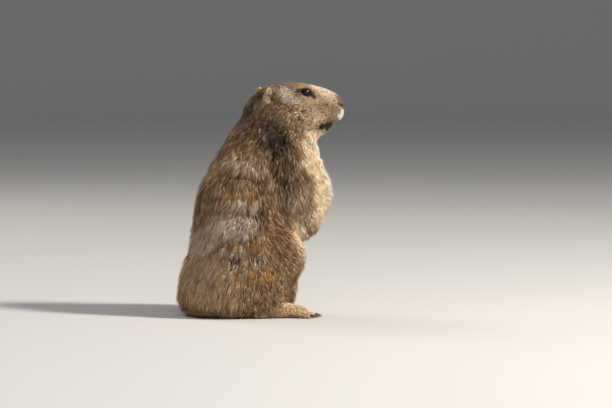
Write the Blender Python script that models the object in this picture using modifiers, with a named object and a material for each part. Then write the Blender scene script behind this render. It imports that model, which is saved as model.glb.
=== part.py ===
"""Alpine marmot sitting upright on its haunches, as a still, life-size model in solids.

The animal faces +X, its left side is +Y and the floor is z = 0. Sizes are in metres.
The body is modelled whole, as soft masses that are fused and smoothed like clay, and is
then parted with thin cuts into head, neck, torso and limbs. Paws, claws, ears, eyes, nose
and tail are fitted to it with the same gap.
"""

import math
import random

import bmesh
import bpy
from mathutils import Matrix, Vector
from mathutils.bvhtree import BVHTree

# The gap that touching pieces keep, and how far a cutter grows to leave it.
GAP = 0.0003

# The trunk, from the rump on the floor up to the back of the skull. Each ring is
# (back x, back z, front x, front z, half width).
TRUNK = (
    (-0.086, -0.014, 0.036, -0.014, 0.058),
    (-0.099, 0.014, 0.044, 0.008, 0.070),
    (-0.097, 0.044, 0.050, 0.036, 0.076),
    (-0.089, 0.072, 0.052, 0.064, 0.076),
    (-0.080, 0.100, 0.056, 0.090, 0.071),
    (-0.077, 0.128, 0.074, 0.112, 0.067),
    (-0.076, 0.155, 0.090, 0.136, 0.065),
    (-0.063, 0.183, 0.098, 0.160, 0.062),
    (-0.045, 0.212, 0.092, 0.186, 0.056),
    (-0.029, 0.236, 0.087, 0.206, 0.050),
    (-0.015, 0.256, 0.081, 0.222, 0.045),
    (-0.008, 0.272, 0.073, 0.238, 0.0395),
    (0.006, 0.287, 0.062, 0.252, 0.031),
)
TRUNK_FULLNESS = 2.15

# The head in its own frame: x runs from the occiput to the nose, z up from the throat.
# Each ring is (x, top, bottom, half width).
HEAD_PLACE = Vector((0.0097, 0.0, 0.255))
HEAD_YAW = math.radians(-10)
SKULL = (
    (-0.024, 0.011, -0.012, 0.016),
    (-0.017, 0.0215, -0.016, 0.028),
    (-0.004, 0.035, -0.026, 0.0370),
    (0.012, 0.0425, -0.032, 0.0415),
    (0.028, 0.0455, -0.034, 0.0430),
    (0.044, 0.0465, -0.030, 0.0405),
    (0.057, 0.0450, -0.026, 0.0350),
    (0.069, 0.0425, -0.018, 0.0285),
    (0.080, 0.0395, -0.011, 0.0230),
    (0.091, 0.0358, -0.007, 0.0195),
    (0.100, 0.0312, -0.004, 0.0165),
    (0.1055, 0.0270, 0.001, 0.0125),
    (0.1080, 0.0225, 0.006, 0.0070),
)
JAW = (
    (0.038, 0.014, -0.0340, 0.0350),
    (0.056, 0.013, -0.0325, 0.0310),
    (0.070, 0.006, -0.0280, 0.0250),
    (0.080, 0.000, -0.0215, 0.0190),
    (0.087, -0.004, -0.0170, 0.0140),
    (0.0915, -0.007, -0.0135, 0.0085),
)
CHEEK_AT = Vector((0.034, 0.020, -0.002))
CHEEK_RADII = (0.036, 0.0225, 0.027)
BROW_AT = Vector((0.0500, 0.0180, 0.0375))
BROW_RADII = (0.0190, 0.0085, 0.0052)
ORBIT_RADII = (0.0125, 0.0064, 0.0088)
LIP_AT = Vector((0.0930, 0.0090, 0.0055))
LIP_RADII = (0.0145, 0.0105, 0.0118)

EYE_AT = Vector((0.0530, 0.0237, 0.0335))
EYE_RADIUS = 0.0064
LID_THICKNESS = 0.0012
LID_SLIT_LENGTH = 0.0060
LID_SLIT_HEIGHT = 0.0038
LID_SLIT_DEPTH = 0.0036
LID_SLIT_FORWARD = 0.0006

EAR_AT = Vector((0.0038, 0.0295, 0.0315))
EAR_RADII = (0.0060, 0.0082, 0.0102)
EAR_HOLLOW_SHIFT = Vector((0.0062, 0.0036, 0.0010))
EAR_HOLLOW_SCALE = 0.84

NOSE_AT = Vector((0.1040, 0.0, 0.0210))
NOSE_RADII = (0.0058, 0.0088, 0.0076)
NOSTRIL_AT = Vector((0.1090, 0.0056, 0.0195))
NOSTRIL_RADII = (0.0030, 0.0019, 0.0024)
MOUTH_CORNER = Vector((0.0730, 0.0, -0.0105))
MOUTH_FRONT = Vector((0.0985, 0.0, -0.0040))
MOUTH_GROOVE = 0.0010

# Limbs. The right side is -Y; the forelimbs are posed one by one, the hind limbs alike.
SHOULDER = Vector((0.024, -0.042, 0.186))
ELBOW_RIGHT = Vector((0.047, -0.053, 0.126))
ELBOW_LEFT = Vector((0.049, 0.053, 0.128))
WRIST_RIGHT = Vector((0.087, -0.022, 0.157))
WRIST_LEFT = Vector((0.0905, 0.033, 0.165))
HAND_AIM_RIGHT = Vector((0.16, 0.38, -0.91))
HAND_AIM_LEFT = Vector((0.12, -0.27, -0.95))
HAND_BACK = Vector((0.90, 0.35, 0.20))  # the way the back of a left hand faces
HIP = Vector((-0.024, -0.044, 0.076))
KNEE = Vector((0.012, -0.061, 0.080))
ANKLE = Vector((-0.004, -0.062, 0.024))
FOOT_AT = Vector((-0.018, -0.058, 0.0))
FOOT_OUT = math.radians(8)

# Limb sizes as (half depth, half width) at each end.
UPPER_ARM_RADII = ((0.037, 0.026), (0.026, 0.021))
FOREARM_RADII = ((0.021, 0.019), (0.0150, 0.0135))
THIGH_RADII = ((0.052, 0.035), (0.034, 0.027))
SHANK_RADII = ((0.028, 0.024), (0.016, 0.014))

# What is parted from the body with a limb segment reaches this far past it in depth and to
# the outside; (start, end) say which stretch of the segment its share covers.
SHARE_MARGIN = 0.004
SHARE_OUTWARD = 0.012
SHARE_STRETCH = {"forearm": (0.0, 1.0), "upper_arm": (0.0, 0.9), "shank": (0.35, 1.1), "thigh": (0.0, 1.0)}

# The forepaw in its own frame: x along the fingers, z up from the back of the paw.
PALM_AT = Vector((0.006, 0.0, 0.0))
PALM_RADII = (0.015, 0.0095, 0.0072)
FINGER_LENGTHS = (0.0125, 0.0150, 0.0150, 0.0120)
FINGER_SPREAD = 0.0046
FINGER_RADIUS = 0.0030
FINGER_DROP = 0.0055

# The hind foot in its own frame: x along the toes from the back of the heel, z up from the sole.
HEEL_RADII = (0.0125, 0.0105, 0.0115)
INSTEP_LENGTH = 0.052
INSTEP_RADII = ((0.0115, 0.0105), (0.0088, 0.0130))
TOE_LENGTHS = (0.0130, 0.0175, 0.0190, 0.0175, 0.0125)
TOE_SPREAD = 0.0060
TOE_RADIUS = 0.0043

CLAW_LENGTH = 0.0105
CLAW_RADIUS = 0.0017

# The tail comes out from under the rump on the far side and lies along it on the floor.
TAIL_LINE = (
    Vector((-0.050, 0.020, 0.0150)),
    Vector((-0.069, 0.050, 0.0145)),
    Vector((-0.070, 0.074, 0.0140)),
    Vector((-0.057, 0.091, 0.0135)),
    Vector((-0.036, 0.1005, 0.0130)),
    Vector((-0.011, 0.1040, 0.0130)),
    Vector((0.008, 0.1040, 0.0125)),
)
TAIL_CORE_RADII = (0.0085, 0.0085, 0.0085, 0.0082, 0.0078, 0.0068, 0.0045)

# Its locks stand in staggered rows round the core. Each is rooted inside the core, leans out
# and bends back along the tail.
TAIL_ROWS = 7
TAIL_ROW_STEP = 0.0165
TAIL_FIRST_ROW = 0.034
TAIL_LOCKS_ROUND = 5
TAIL_TIP_LOCKS = 3
LOCK_LENGTH = 0.039
LOCK_RISE = 0.0105
LOCK_ROOT_DEPTH = 0.0030
LOCK_WIDTH = 0.0160
LOCK_THICKNESS = 0.0032
LOCK_JITTER = 0.0015
LOCK_TURN_JITTER = 0.12
LOCK_LENGTH_RANGE = (0.88, 1.12)
LOCK_LEAN_RANGE = (0.85, 1.12)
TIP_LOCK_LENGTH_RANGE = (0.8, 1.0)
TIP_LOCK_LEAN_RANGE = (0.3, 0.6)
LOCK_STATIONS = ((0.0, 0.60, 1.0), (0.35, 1.0, 1.0), (0.70, 0.70, 0.70), (1.0, 0.08, 0.20))

# Where the body is parted: a point on each plane and the direction of the upper piece.
NECK_TOP = (Vector((-0.012, 0.0, 0.262)), Vector((0.505, 0.0, 0.863)))
NECK_BOTTOM = (Vector((-0.040, 0.0, 0.224)), Vector((0.288, 0.0, 0.958)))
WAIST = (Vector((-0.078, 0.0, 0.128)), Vector((0.110, 0.0, 0.994)))

GREY_BROWN = (0.20, 0.15, 0.10, 1.0)
CREAM = (0.62, 0.47, 0.30, 1.0)
RUFOUS = (0.30, 0.19, 0.10, 1.0)
BLACK_BROWN = (0.035, 0.025, 0.020, 1.0)
NOSE_BROWN = (0.060, 0.045, 0.040, 1.0)
HORN = (0.050, 0.040, 0.032, 1.0)
EYE_BLACK = (0.008, 0.006, 0.005, 1.0)

SIDES = ((1, "left"), (-1, "right"))


def clear_scene():
    for item in list(bpy.data.objects):
        bpy.data.objects.remove(item, do_unlink=True)


def new_collection(name):
    made = bpy.data.collections.new(name)
    bpy.context.scene.collection.children.link(made)
    return made


clear_scene()
MARMOT = new_collection("marmot")
WORKSHOP = new_collection("workshop")


def new_object(name, shape):
    """An object from a bmesh, with outward triangles, so that a grown copy keeps the same facets."""
    bmesh.ops.triangulate(shape, faces=shape.faces)
    bmesh.ops.recalc_face_normals(shape, faces=shape.faces)
    mesh = bpy.data.meshes.new(name)
    shape.to_mesh(mesh)
    shape.free()
    made = bpy.data.objects.new(name, mesh)
    WORKSHOP.objects.link(made)
    return made


def new_material(name, colour, roughness):
    material = bpy.data.materials.new(name)
    material.use_nodes = True
    shader = material.node_tree.nodes["Principled BSDF"]
    shader.inputs["Base Color"].default_value = colour
    shader.inputs["Roughness"].default_value = roughness
    shader.inputs["Metallic"].default_value = 0.0
    return material


def remove(item):
    bpy.data.objects.remove(item, do_unlink=True)


def apply_modifiers(item):
    bpy.context.view_layer.update()
    graph = bpy.context.evaluated_depsgraph_get()
    baked = bpy.data.meshes.new_from_object(item.evaluated_get(graph))
    item.modifiers.clear()
    item.data = baked


def copy_of(item, name):
    made = bpy.data.objects.new(name, item.data.copy())
    WORKSHOP.objects.link(made)
    return made


def boolean(target, tool, operation, solver="EXACT"):
    """Joins or cuts the target with the tool; the many-sided clay needs the MANIFOLD solver."""
    step = target.modifiers.new("boolean", "BOOLEAN")
    step.operation = operation
    step.object = tool
    step.solver = solver
    apply_modifiers(target)


def cut_away(target, tool, solver="EXACT"):
    """Takes the tool's volume out of the target and removes the tool."""
    boolean(target, tool, "DIFFERENCE", solver)
    remove(tool)


def grown(item, by):
    """A copy of the object with its surface moved outwards."""
    made = copy_of(item, item.name + "_grown")
    shape = bmesh.new()
    shape.from_mesh(made.data)
    bmesh.ops.remove_doubles(shape, verts=shape.verts, dist=0.00002)
    shape.normal_update()
    moves = [vertex.normal * by * min(vertex.calc_shell_factor(), 2.0) for vertex in shape.verts]
    for vertex, move in zip(shape.verts, moves):
        vertex.co += move
    shape.to_mesh(made.data)
    shape.free()
    return made


def trim(piece, host, gap=GAP):
    """Cuts the piece back from its host, with the gap between them."""
    cut_away(piece, grown(host, gap), "MANIFOLD")
    keep_largest(piece)


def box_volume(shell):
    low = [min(vertex.co[axis] for vertex in shell) for axis in range(3)]
    high = [max(vertex.co[axis] for vertex in shell) for axis in range(3)]
    return (high[0] - low[0]) * (high[1] - low[1]) * (high[2] - low[2])


def keep_largest(item):
    """Leaves only the largest closed surface of a mesh."""
    shape = bmesh.new()
    shape.from_mesh(item.data)
    waiting = set(shape.verts)
    shells = []
    while waiting:
        found = {waiting.pop()}
        edge_of_search = list(found)
        while edge_of_search:
            vertex = edge_of_search.pop()
            for edge in vertex.link_edges:
                other = edge.other_vert(vertex)
                if other in waiting:
                    waiting.remove(other)
                    found.add(other)
                    edge_of_search.append(other)
        shells.append(found)
    shells.sort(key=box_volume)
    for shell in shells[:-1]:
        bmesh.ops.delete(shape, geom=list(shell), context="VERTS")
    shape.to_mesh(item.data)
    shape.free()


def catmull(a, b, c, d, t):
    return 0.5 * (2 * b + (c - a) * t + (2 * a - 5 * b + 4 * c - d) * t * t + (3 * b - a - 3 * c + d) * t**3)


def blend(rows, steps):
    """Rows of vectors or numbers with smooth rows put in between."""
    made = []
    for index in range(len(rows) - 1):
        before = rows[max(index - 1, 0)]
        after = rows[min(index + 2, len(rows) - 1)]
        four = (before, rows[index], rows[index + 1], after)
        for step in range(steps):
            made.append(tuple(catmull(*parts, step / steps) for parts in zip(*four)))
    made.append(rows[-1])
    return made


def loft(name, rings, sides=24, steps=3, fullness=2.0):
    """A closed skin over rings of (centre, half width vector, half depth vector)."""
    shape = bmesh.new()
    loops = []
    for centre, across, deep in blend(rings, steps):
        loop = []
        for side in range(sides):
            turn = 2 * math.pi * side / sides
            c = math.copysign(abs(math.cos(turn)) ** (2 / fullness), math.cos(turn))
            s = math.copysign(abs(math.sin(turn)) ** (2 / fullness), math.sin(turn))
            loop.append(shape.verts.new(centre + across * c + deep * s))
        loops.append(loop)
    for low, high in zip(loops, loops[1:]):
        for side in range(sides):
            after = (side + 1) % sides
            shape.faces.new((low[side], low[after], high[after], high[side]))
    shape.faces.new(loops[0])
    shape.faces.new(loops[-1])
    return new_object(name, shape)


def limb(name, points, radii, sides=16, steps=2, across=Vector((0, 1, 0)), dome=(0.98, 0.8, 0.45)):
    """A round-ended tube along points, with (half depth, half width) at each point."""
    line = [Vector(point) for point in points]
    start = (line[0] - line[1]).normalized() * max(radii[0])
    end = (line[-1] - line[-2]).normalized() * max(radii[-1])
    narrow = [math.sqrt(1 - share * share) for share in dome]
    rings = [(line[0] + start * share, radii[0][0] * n, radii[0][1] * n) for share, n in zip(dome, narrow)]
    rings += [(point, deep, wide) for point, (deep, wide) in zip(line, radii)]
    tail = [(line[-1] + end * share, radii[-1][0] * n, radii[-1][1] * n) for share, n in zip(dome, narrow)]
    rings += reversed(tail)
    framed = []
    for index, (centre, deep, wide) in enumerate(rings):
        ahead = rings[min(index + 1, len(rings) - 1)][0] - rings[max(index - 1, 0)][0]
        side = (across - ahead * across.dot(ahead) / ahead.length_squared).normalized()
        framed.append((centre, side * wide, ahead.cross(side).normalized() * deep))
    return loft(name, framed, sides=sides, steps=steps)


def ellipsoid(name, centre, radii, segments=20, rings=12):
    shape = bmesh.new()
    place = Matrix.Translation(centre) @ Matrix.Diagonal((*radii, 1.0))
    bmesh.ops.create_uvsphere(shape, u_segments=segments, v_segments=rings, radius=1.0, matrix=place)
    return new_object(name, shape)


def half_space(name, point, normal, size=0.6):
    """A big box with one face through the point; it fills the side that the normal points to."""
    shape = bmesh.new()
    turn = Vector(normal).normalized().to_track_quat("Z", "Y").to_matrix().to_4x4()
    place = Matrix.Translation(point) @ turn @ Matrix.Translation((0, 0, size / 2))
    bmesh.ops.create_cube(shape, size=size, matrix=place)
    return new_object(name, shape)


def joined(name, pieces):
    """One object holding all the pieces' surfaces, which may cross; the pieces are removed."""
    shape = bmesh.new()
    for piece in pieces:
        shape.from_mesh(piece.data)
        remove(piece)
    return new_object(name, shape)


def fused(name, masses, voxel, smoothing):
    """The masses fused into one smooth closed body, like clay."""
    body = joined(name, masses)
    fuse = body.modifiers.new("fuse", "REMESH")
    fuse.mode = "VOXEL"
    fuse.voxel_size = voxel
    fuse.adaptivity = 0.0
    apply_modifiers(body)
    keep_largest(body)
    soften = body.modifiers.new("soften", "SMOOTH")
    soften.factor = 0.5
    soften.iterations = smoothing
    apply_modifiers(body)
    return body


def thin_to(item, triangles):
    count = sum(len(face.vertices) - 2 for face in item.data.polygons)
    thin = item.modifiers.new("thin", "DECIMATE")
    thin.ratio = min(1.0, triangles / count)
    apply_modifiers(item)


def flipped(point, side):
    """A point of the right side, on the wanted side: 1 is left and -1 is right."""
    return Vector((point.x, -point.y * side, point.z))


def outward(point, side):
    """A point given for the left side, on the wanted side."""
    return Vector((point.x, point.y * side, point.z))


def head_turn():
    return Matrix.Translation(HEAD_PLACE) @ Matrix.Rotation(HEAD_YAW, 4, "Z")


def place_head(item):
    item.data.transform(head_turn())
    return item


def trunk_rings():
    rings = []
    for back_x, back_z, front_x, front_z, half_width in TRUNK:
        back = Vector((back_x, 0, back_z))
        front = Vector((front_x, 0, front_z))
        rings.append(((back + front) / 2, Vector((0, half_width, 0)), (front - back) / 2))
    return rings


def profile_rings(rows):
    rings = []
    for x, top, bottom, half_width in rows:
        centre = Vector((x, 0, (top + bottom) / 2))
        rings.append((centre, Vector((0, half_width, 0)), Vector((0, 0, (top - bottom) / 2))))
    return rings


def trunk():
    return loft("trunk", trunk_rings(), sides=32, fullness=TRUNK_FULLNESS)


def head_masses():
    masses = [
        loft("skull", profile_rings(SKULL), sides=28, fullness=2.2),
        loft("lower_jaw", profile_rings(JAW), sides=20, fullness=2.2),
    ]
    for side, _ in SIDES:
        masses.append(ellipsoid("cheek", outward(CHEEK_AT, side), CHEEK_RADII))
        masses.append(ellipsoid("brow", outward(BROW_AT, side), BROW_RADII))
        masses.append(ellipsoid("orbit", outward(EYE_AT, side), ORBIT_RADII))
        masses.append(ellipsoid("lip", outward(LIP_AT, side), LIP_RADII))
    return [place_head(mass) for mass in masses]


def side_joints(side):
    left = side > 0
    return {
        "shoulder": flipped(SHOULDER, side),
        "elbow": ELBOW_LEFT if left else ELBOW_RIGHT,
        "wrist": WRIST_LEFT if left else WRIST_RIGHT,
        "hip": flipped(HIP, side),
        "knee": flipped(KNEE, side),
        "ankle": flipped(ANKLE, side),
    }


def limb_segments(side):
    """The limb segments of one side as (joints, sizes), in the order in which they are parted."""
    j = side_joints(side)
    return {
        "forearm": ((j["elbow"], j["wrist"]), FOREARM_RADII),
        "upper_arm": ((j["shoulder"], j["elbow"]), UPPER_ARM_RADII),
        "shank": ((j["knee"], j["ankle"]), SHANK_RADII),
        "thigh": ((j["hip"], j["knee"]), THIGH_RADII),
    }


def limb_masses(side):
    return [limb(name, joints, radii) for name, (joints, radii) in limb_segments(side).items()]


def limb_share(name, side):
    """The region of the body that goes with a limb segment: wider than it, and shifted outwards."""
    (start, end), radii = limb_segments(side)[name]
    shift = Vector((0, side * SHARE_OUTWARD, 0))
    points = [start.lerp(end, share) + shift for share in SHARE_STRETCH[name]]
    sizes = [(deep + SHARE_MARGIN, wide + SHARE_OUTWARD) for deep, wide in radii]
    return limb(name + "_share", points, sizes, sides=8, steps=1, dome=(0.92, 0.5))


def build_body():
    masses = [trunk()] + head_masses()
    for side, _ in SIDES:
        masses += limb_masses(side)
    body = fused("body", masses, voxel=0.003, smoothing=20)
    thin_to(body, 2350)
    cut_at_floor(body)
    return body


def build_head():
    """The head with lids and mouth line, cut off at the neck."""
    head = fused("head", [trunk()] + head_masses(), voxel=0.0016, smoothing=12)
    point, upwards = NECK_TOP
    boolean_plane(head, point - upwards * 0.006, upwards, keep_above=True, gap=0.0)
    keep_largest(head)
    thin_to(head, 1750)
    boolean_plane(head, point, upwards, keep_above=True, gap=GAP / 2)
    keep_largest(head)
    return head


def boolean_plane(item, point, normal, keep_above, gap):
    """Cuts the item at a plane, drawn back from it by the gap."""
    outward_normal = -normal if keep_above else normal
    shift = normal * gap if keep_above else -normal * gap
    cut_away(item, half_space("plane", point + shift, outward_normal), "MANIFOLD")


def finger_line(base_x, drift, length, drop):
    """Three points along one finger or toe, spreading and drooping towards its tip."""
    return (
        Vector((base_x, drift, 0.0)),
        Vector((base_x + length * 0.55, drift * 1.25, -drop * 0.2)),
        Vector((base_x + length, drift * 1.45, -drop)),
    )


def spread_of(index, count, spread):
    return (index - (count - 1) / 2) * spread


def forepaw_frame(side):
    j = side_joints(side)
    aim = (HAND_AIM_LEFT if side > 0 else HAND_AIM_RIGHT).normalized()
    across = outward(HAND_BACK, side).cross(aim).normalized()
    up = aim.cross(across)
    turn = Matrix((aim, across, up)).transposed().to_4x4()
    return Matrix.Translation(j["wrist"] + aim * PALM_AT.x) @ turn


def foot_frame(side):
    turn = Matrix.Rotation(FOOT_OUT * side, 4, "Z")
    return Matrix.Translation(flipped(FOOT_AT, side)) @ turn


def fingers():
    count = len(FINGER_LENGTHS)
    return [
        finger_line(0.015, spread_of(index, count, FINGER_SPREAD), length, FINGER_DROP)
        for index, length in enumerate(FINGER_LENGTHS)
    ]


def toes(side):
    """The toes of one hind foot; the innermost is the shortest and sits furthest back."""
    count = len(TOE_LENGTHS)
    lines = []
    for index, length in enumerate(TOE_LENGTHS):
        drift = spread_of(index, count, TOE_SPREAD)
        base_x = INSTEP_LENGTH + 0.003 - abs(index - 2) * 0.0022
        points = finger_line(base_x, drift, length, 0.0010)
        lines.append([Vector((point.x, point.y, point.z + TOE_RADIUS * 0.92)) for point in points])
    return lines


def build_forepaw(side):
    masses = [ellipsoid("palm", PALM_AT, PALM_RADII)]
    for line in fingers():
        radii = [(FINGER_RADIUS, FINGER_RADIUS)] * 2 + [(FINGER_RADIUS * 0.85, FINGER_RADIUS * 0.85)]
        masses.append(limb("finger", line, radii, sides=10))
    thumb = (Vector((0.006, -side * 0.0075, -0.003)), Vector((0.0125, -side * 0.0105, -0.0055)))
    masses.append(limb("thumb", thumb, [(0.0024, 0.0024)] * 2, sides=10))
    for mass in masses:
        mass.data.transform(forepaw_frame(side))
    forepaw = fused("forepaw", masses, voxel=0.0011, smoothing=4)
    thin_to(forepaw, 340)
    return forepaw


def build_foot(side):
    heel_at = Vector((HEEL_RADII[0], 0.0, HEEL_RADII[2] - 0.001))
    ball_at = Vector((INSTEP_LENGTH, 0.0, INSTEP_RADII[1][0] - 0.001))
    masses = [
        ellipsoid("heel", heel_at, HEEL_RADII),
        limb("instep", (heel_at, ball_at), INSTEP_RADII),
    ]
    for line in toes(side):
        masses.append(limb("toe", line, [(TOE_RADIUS, TOE_RADIUS)] * 3, sides=10))
    for mass in masses:
        mass.data.transform(foot_frame(side))
    foot = fused("hind_foot", masses, voxel=0.0014, smoothing=4)
    thin_to(foot, 450)
    cut_at_floor(foot)
    return foot


def cut_at_floor(item):
    cut_away(item, half_space("floor", Vector((0, 0, 0)), Vector((0, 0, -1))), "MANIFOLD")


def claw(name, base, aim, drop):
    """A curved, tapering claw from inside a fingertip."""
    last = 2
    shares = [step / last for step in range(last + 1)]
    points = [base + aim * (CLAW_LENGTH * share) + Vector((0, 0, -drop * share * share)) for share in shares]
    framed = []
    for index, share in enumerate(shares):
        ahead = points[min(index + 1, last)] - points[max(index - 1, 0)]
        side = ahead.cross(Vector((0, 0, 1))).normalized()
        radius = CLAW_RADIUS * (1 - 0.82 * share**1.3)
        framed.append((points[index], side * radius * 0.8, side.cross(ahead).normalized() * radius))
    return loft(name, framed, sides=5, steps=1)


def build_claws(paw, lines, frame, name, drop):
    made = {}
    for index, line in enumerate(lines):
        tip = frame @ line[-1]
        aim = (frame @ line[-1] - frame @ line[-2]).normalized()
        piece = claw(f"{name}_{index + 1}", tip + aim * 0.0005, aim, drop)
        trim(piece, paw)
        made[piece.name] = piece
    return made


def build_eye(side):
    eye = ellipsoid("eye", outward(EYE_AT, side), (EYE_RADIUS,) * 3, segments=12, rings=8)
    return place_head(eye)


def cut_lids(head, side):
    """Lids that wrap the eye, with an almond slit, over a socket that clears the ball."""
    at = outward(EYE_AT, side)
    lids = place_head(ellipsoid("lids", at, (EYE_RADIUS + LID_THICKNESS,) * 3, segments=12, rings=6))
    boolean(head, lids, "UNION", "MANIFOLD")
    remove(lids)
    socket = place_head(ellipsoid("socket", at, (EYE_RADIUS + GAP,) * 3, segments=12, rings=8))
    cut_away(head, socket, "MANIFOLD")
    slit_at = at + Vector((LID_SLIT_FORWARD, side * EYE_RADIUS, 0.0))
    slit_radii = (LID_SLIT_LENGTH, LID_SLIT_DEPTH, LID_SLIT_HEIGHT)
    slit = ellipsoid("slit", slit_at, slit_radii, segments=10, rings=6)
    cut_away(head, place_head(slit), "MANIFOLD")
    keep_largest(head)


def surface_points(item, starts, aims):
    """Where rays from the starts meet the item's surface."""
    shape = bmesh.new()
    shape.from_mesh(item.data)
    tree = BVHTree.FromBMesh(shape)
    found = [tree.ray_cast(start, aim)[0] for start, aim in zip(starts, aims)]
    shape.free()
    return found


def cut_mouth(head):
    """The line of the mouth from corner to corner, and the cleft below the nose."""
    turn = head_turn()
    starts, aims = [], []
    steps = 5
    for step in range(-steps, steps + 1):
        share = step / steps
        heading = Vector((math.cos(share * 1.45), math.sin(share * 1.45), 0.0))
        back = abs(share) ** 1.5
        centre = Vector((0.0850 - 0.0090 * back, 0.0, MOUTH_FRONT.z + (MOUTH_CORNER.z - MOUTH_FRONT.z) * back))
        starts.append(turn @ (centre + heading * 0.05))
        aims.append((turn.to_3x3() @ -heading).normalized())
    line = surface_points(head, starts, aims)
    sizes = [(MOUTH_GROOVE, MOUTH_GROOVE)] * len(line)
    groove = limb("mouth_line", line, sizes, sides=5, steps=1, across=Vector((0, 0, 1)), dome=(0.7,))
    cut_away(head, groove, "MANIFOLD")
    low = MOUTH_FRONT.z
    high = NOSE_AT.z - NOSE_RADII[2] * 0.8
    heights = [low + (high - low) * step / 3 for step in range(4)]
    ahead = (turn.to_3x3() @ Vector((-1, 0, 0))).normalized()
    starts = [turn @ Vector((0.13, 0.0, height)) for height in heights]
    line = surface_points(head, starts, [ahead] * 4)
    sizes = [(MOUTH_GROOVE * 0.8, MOUTH_GROOVE * 0.8)] * len(line)
    cut_away(head, limb("cleft", line, sizes, sides=5, steps=1, dome=(0.7,)), "MANIFOLD")
    keep_largest(head)


def build_nose():
    nose = ellipsoid("nose", NOSE_AT, NOSE_RADII, segments=12, rings=7)
    for side, _ in SIDES:
        cut_away(nose, ellipsoid("nostril", outward(NOSTRIL_AT, side), NOSTRIL_RADII, segments=7, rings=4))
    return place_head(nose)


def build_ear(side):
    """A small round cup, open forwards and outwards."""
    at = outward(EAR_AT, side)
    ear = ellipsoid("ear", at, EAR_RADII, segments=10, rings=7)
    hollow_at = at + outward(EAR_HOLLOW_SHIFT, side)
    hollow_radii = [radius * EAR_HOLLOW_SCALE for radius in EAR_RADII]
    cut_away(ear, ellipsoid("ear_hollow", hollow_at, hollow_radii, segments=10, rings=6))
    return place_head(ear)


def tail_point(distance):
    """The place on the tail's line that far from its start, and the direction there."""
    line = [Vector(point) for point in blend(TAIL_LINE, 4)]
    left = distance
    for start, end in zip(line, line[1:]):
        ahead = end - start
        if left <= ahead.length:
            break
        left -= ahead.length
    else:
        left += ahead.length
    return start + ahead.normalized() * left, ahead.normalized()


def tail_lock(start, turn, length, lean):
    """A flat, tapered lock that leaves the core at the start, on the side that the turn gives."""
    framed = []
    for along, width, thickness in LOCK_STATIONS:
        centre, ahead = tail_point(start + length * along)
        side = ahead.cross(Vector((0, 0, 1))).normalized()
        out = side * math.cos(turn) + Vector((0, 0, 1)) * math.sin(turn)
        rise = LOCK_RISE * lean * (1 - (1 - along) ** 1.7)
        radius = TAIL_CORE_RADII[0] - LOCK_ROOT_DEPTH + rise
        across = ahead.cross(out).normalized() * LOCK_WIDTH / 2 * width
        framed.append((centre + out * radius, across, out * LOCK_THICKNESS / 2 * thickness))
    return loft("tail_lock", framed, sides=4, steps=1)


def tail_locks(draw):
    """The locks in rows round the core, each row turned by half a step, and a tuft at the tip."""
    locks = []
    step = 2 * math.pi / TAIL_LOCKS_ROUND
    for row in range(TAIL_ROWS):
        start = TAIL_FIRST_ROW + row * TAIL_ROW_STEP
        for index in range(TAIL_LOCKS_ROUND):
            turn = (index + row % 2 / 2 + draw.uniform(-LOCK_TURN_JITTER, LOCK_TURN_JITTER)) * step
            length = LOCK_LENGTH * draw.uniform(*LOCK_LENGTH_RANGE)
            place = start + draw.uniform(-LOCK_JITTER, LOCK_JITTER)
            locks.append(tail_lock(place, turn, length, draw.uniform(*LOCK_LEAN_RANGE)))
    last = TAIL_FIRST_ROW + TAIL_ROWS * TAIL_ROW_STEP
    for index in range(TAIL_TIP_LOCKS):
        turn = (index + draw.uniform(-LOCK_TURN_JITTER, LOCK_TURN_JITTER)) * 2 * math.pi / TAIL_TIP_LOCKS
        length = LOCK_LENGTH * draw.uniform(*TIP_LOCK_LENGTH_RANGE)
        locks.append(tail_lock(last, turn, length, draw.uniform(*TIP_LOCK_LEAN_RANGE)))
    return locks


def united(host, pieces):
    """The host with the pieces joined to it in one union; the pieces are removed."""
    gathered = bpy.data.collections.new("gathered")
    for piece in pieces:
        gathered.objects.link(piece)
    step = host.modifiers.new("union", "BOOLEAN")
    step.operation = "UNION"
    step.operand_type = "COLLECTION"
    step.collection = gathered
    step.solver = "MANIFOLD"
    apply_modifiers(host)
    for piece in pieces:
        remove(piece)
    bpy.data.collections.remove(gathered)


def build_tail():
    core = [(radius, radius) for radius in TAIL_CORE_RADII]
    tail = limb("tail", TAIL_LINE, core, sides=8, steps=1, across=Vector((0, 0, 1)))
    united(tail, tail_locks(random.Random(7)))
    cut_at_floor(tail)
    keep_largest(tail)
    return tail


def part_limbs(body, side, word):
    """Takes each limb segment off the body, with a gap left between them."""
    made = {}
    for name in limb_segments(side):
        share = limb_share(name, side)
        piece = copy_of(body, f"{name}_{word}")
        boolean(piece, share, "INTERSECT", "MANIFOLD")
        keep_largest(piece)
        cut_away(body, grown(share, GAP), "MANIFOLD")
        remove(share)
        keep_largest(body)
        made[piece.name] = piece
    return made


def part_trunk(body):
    """Parts what the limbs leave into neck, chest and rump."""
    neck = copy_of(body, "neck")
    boolean_plane(neck, *NECK_TOP, keep_above=False, gap=GAP / 2)
    boolean_plane(neck, *NECK_BOTTOM, keep_above=True, gap=GAP / 2)
    chest = copy_of(body, "torso_upper")
    boolean_plane(chest, *NECK_BOTTOM, keep_above=False, gap=GAP / 2)
    boolean_plane(chest, *WAIST, keep_above=True, gap=GAP / 2)
    boolean_plane(body, *WAIST, keep_above=False, gap=GAP / 2)
    pieces = {"neck": neck, "torso_upper": chest, "torso_lower": body}
    for piece in pieces.values():
        keep_largest(piece)
    return pieces


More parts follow.
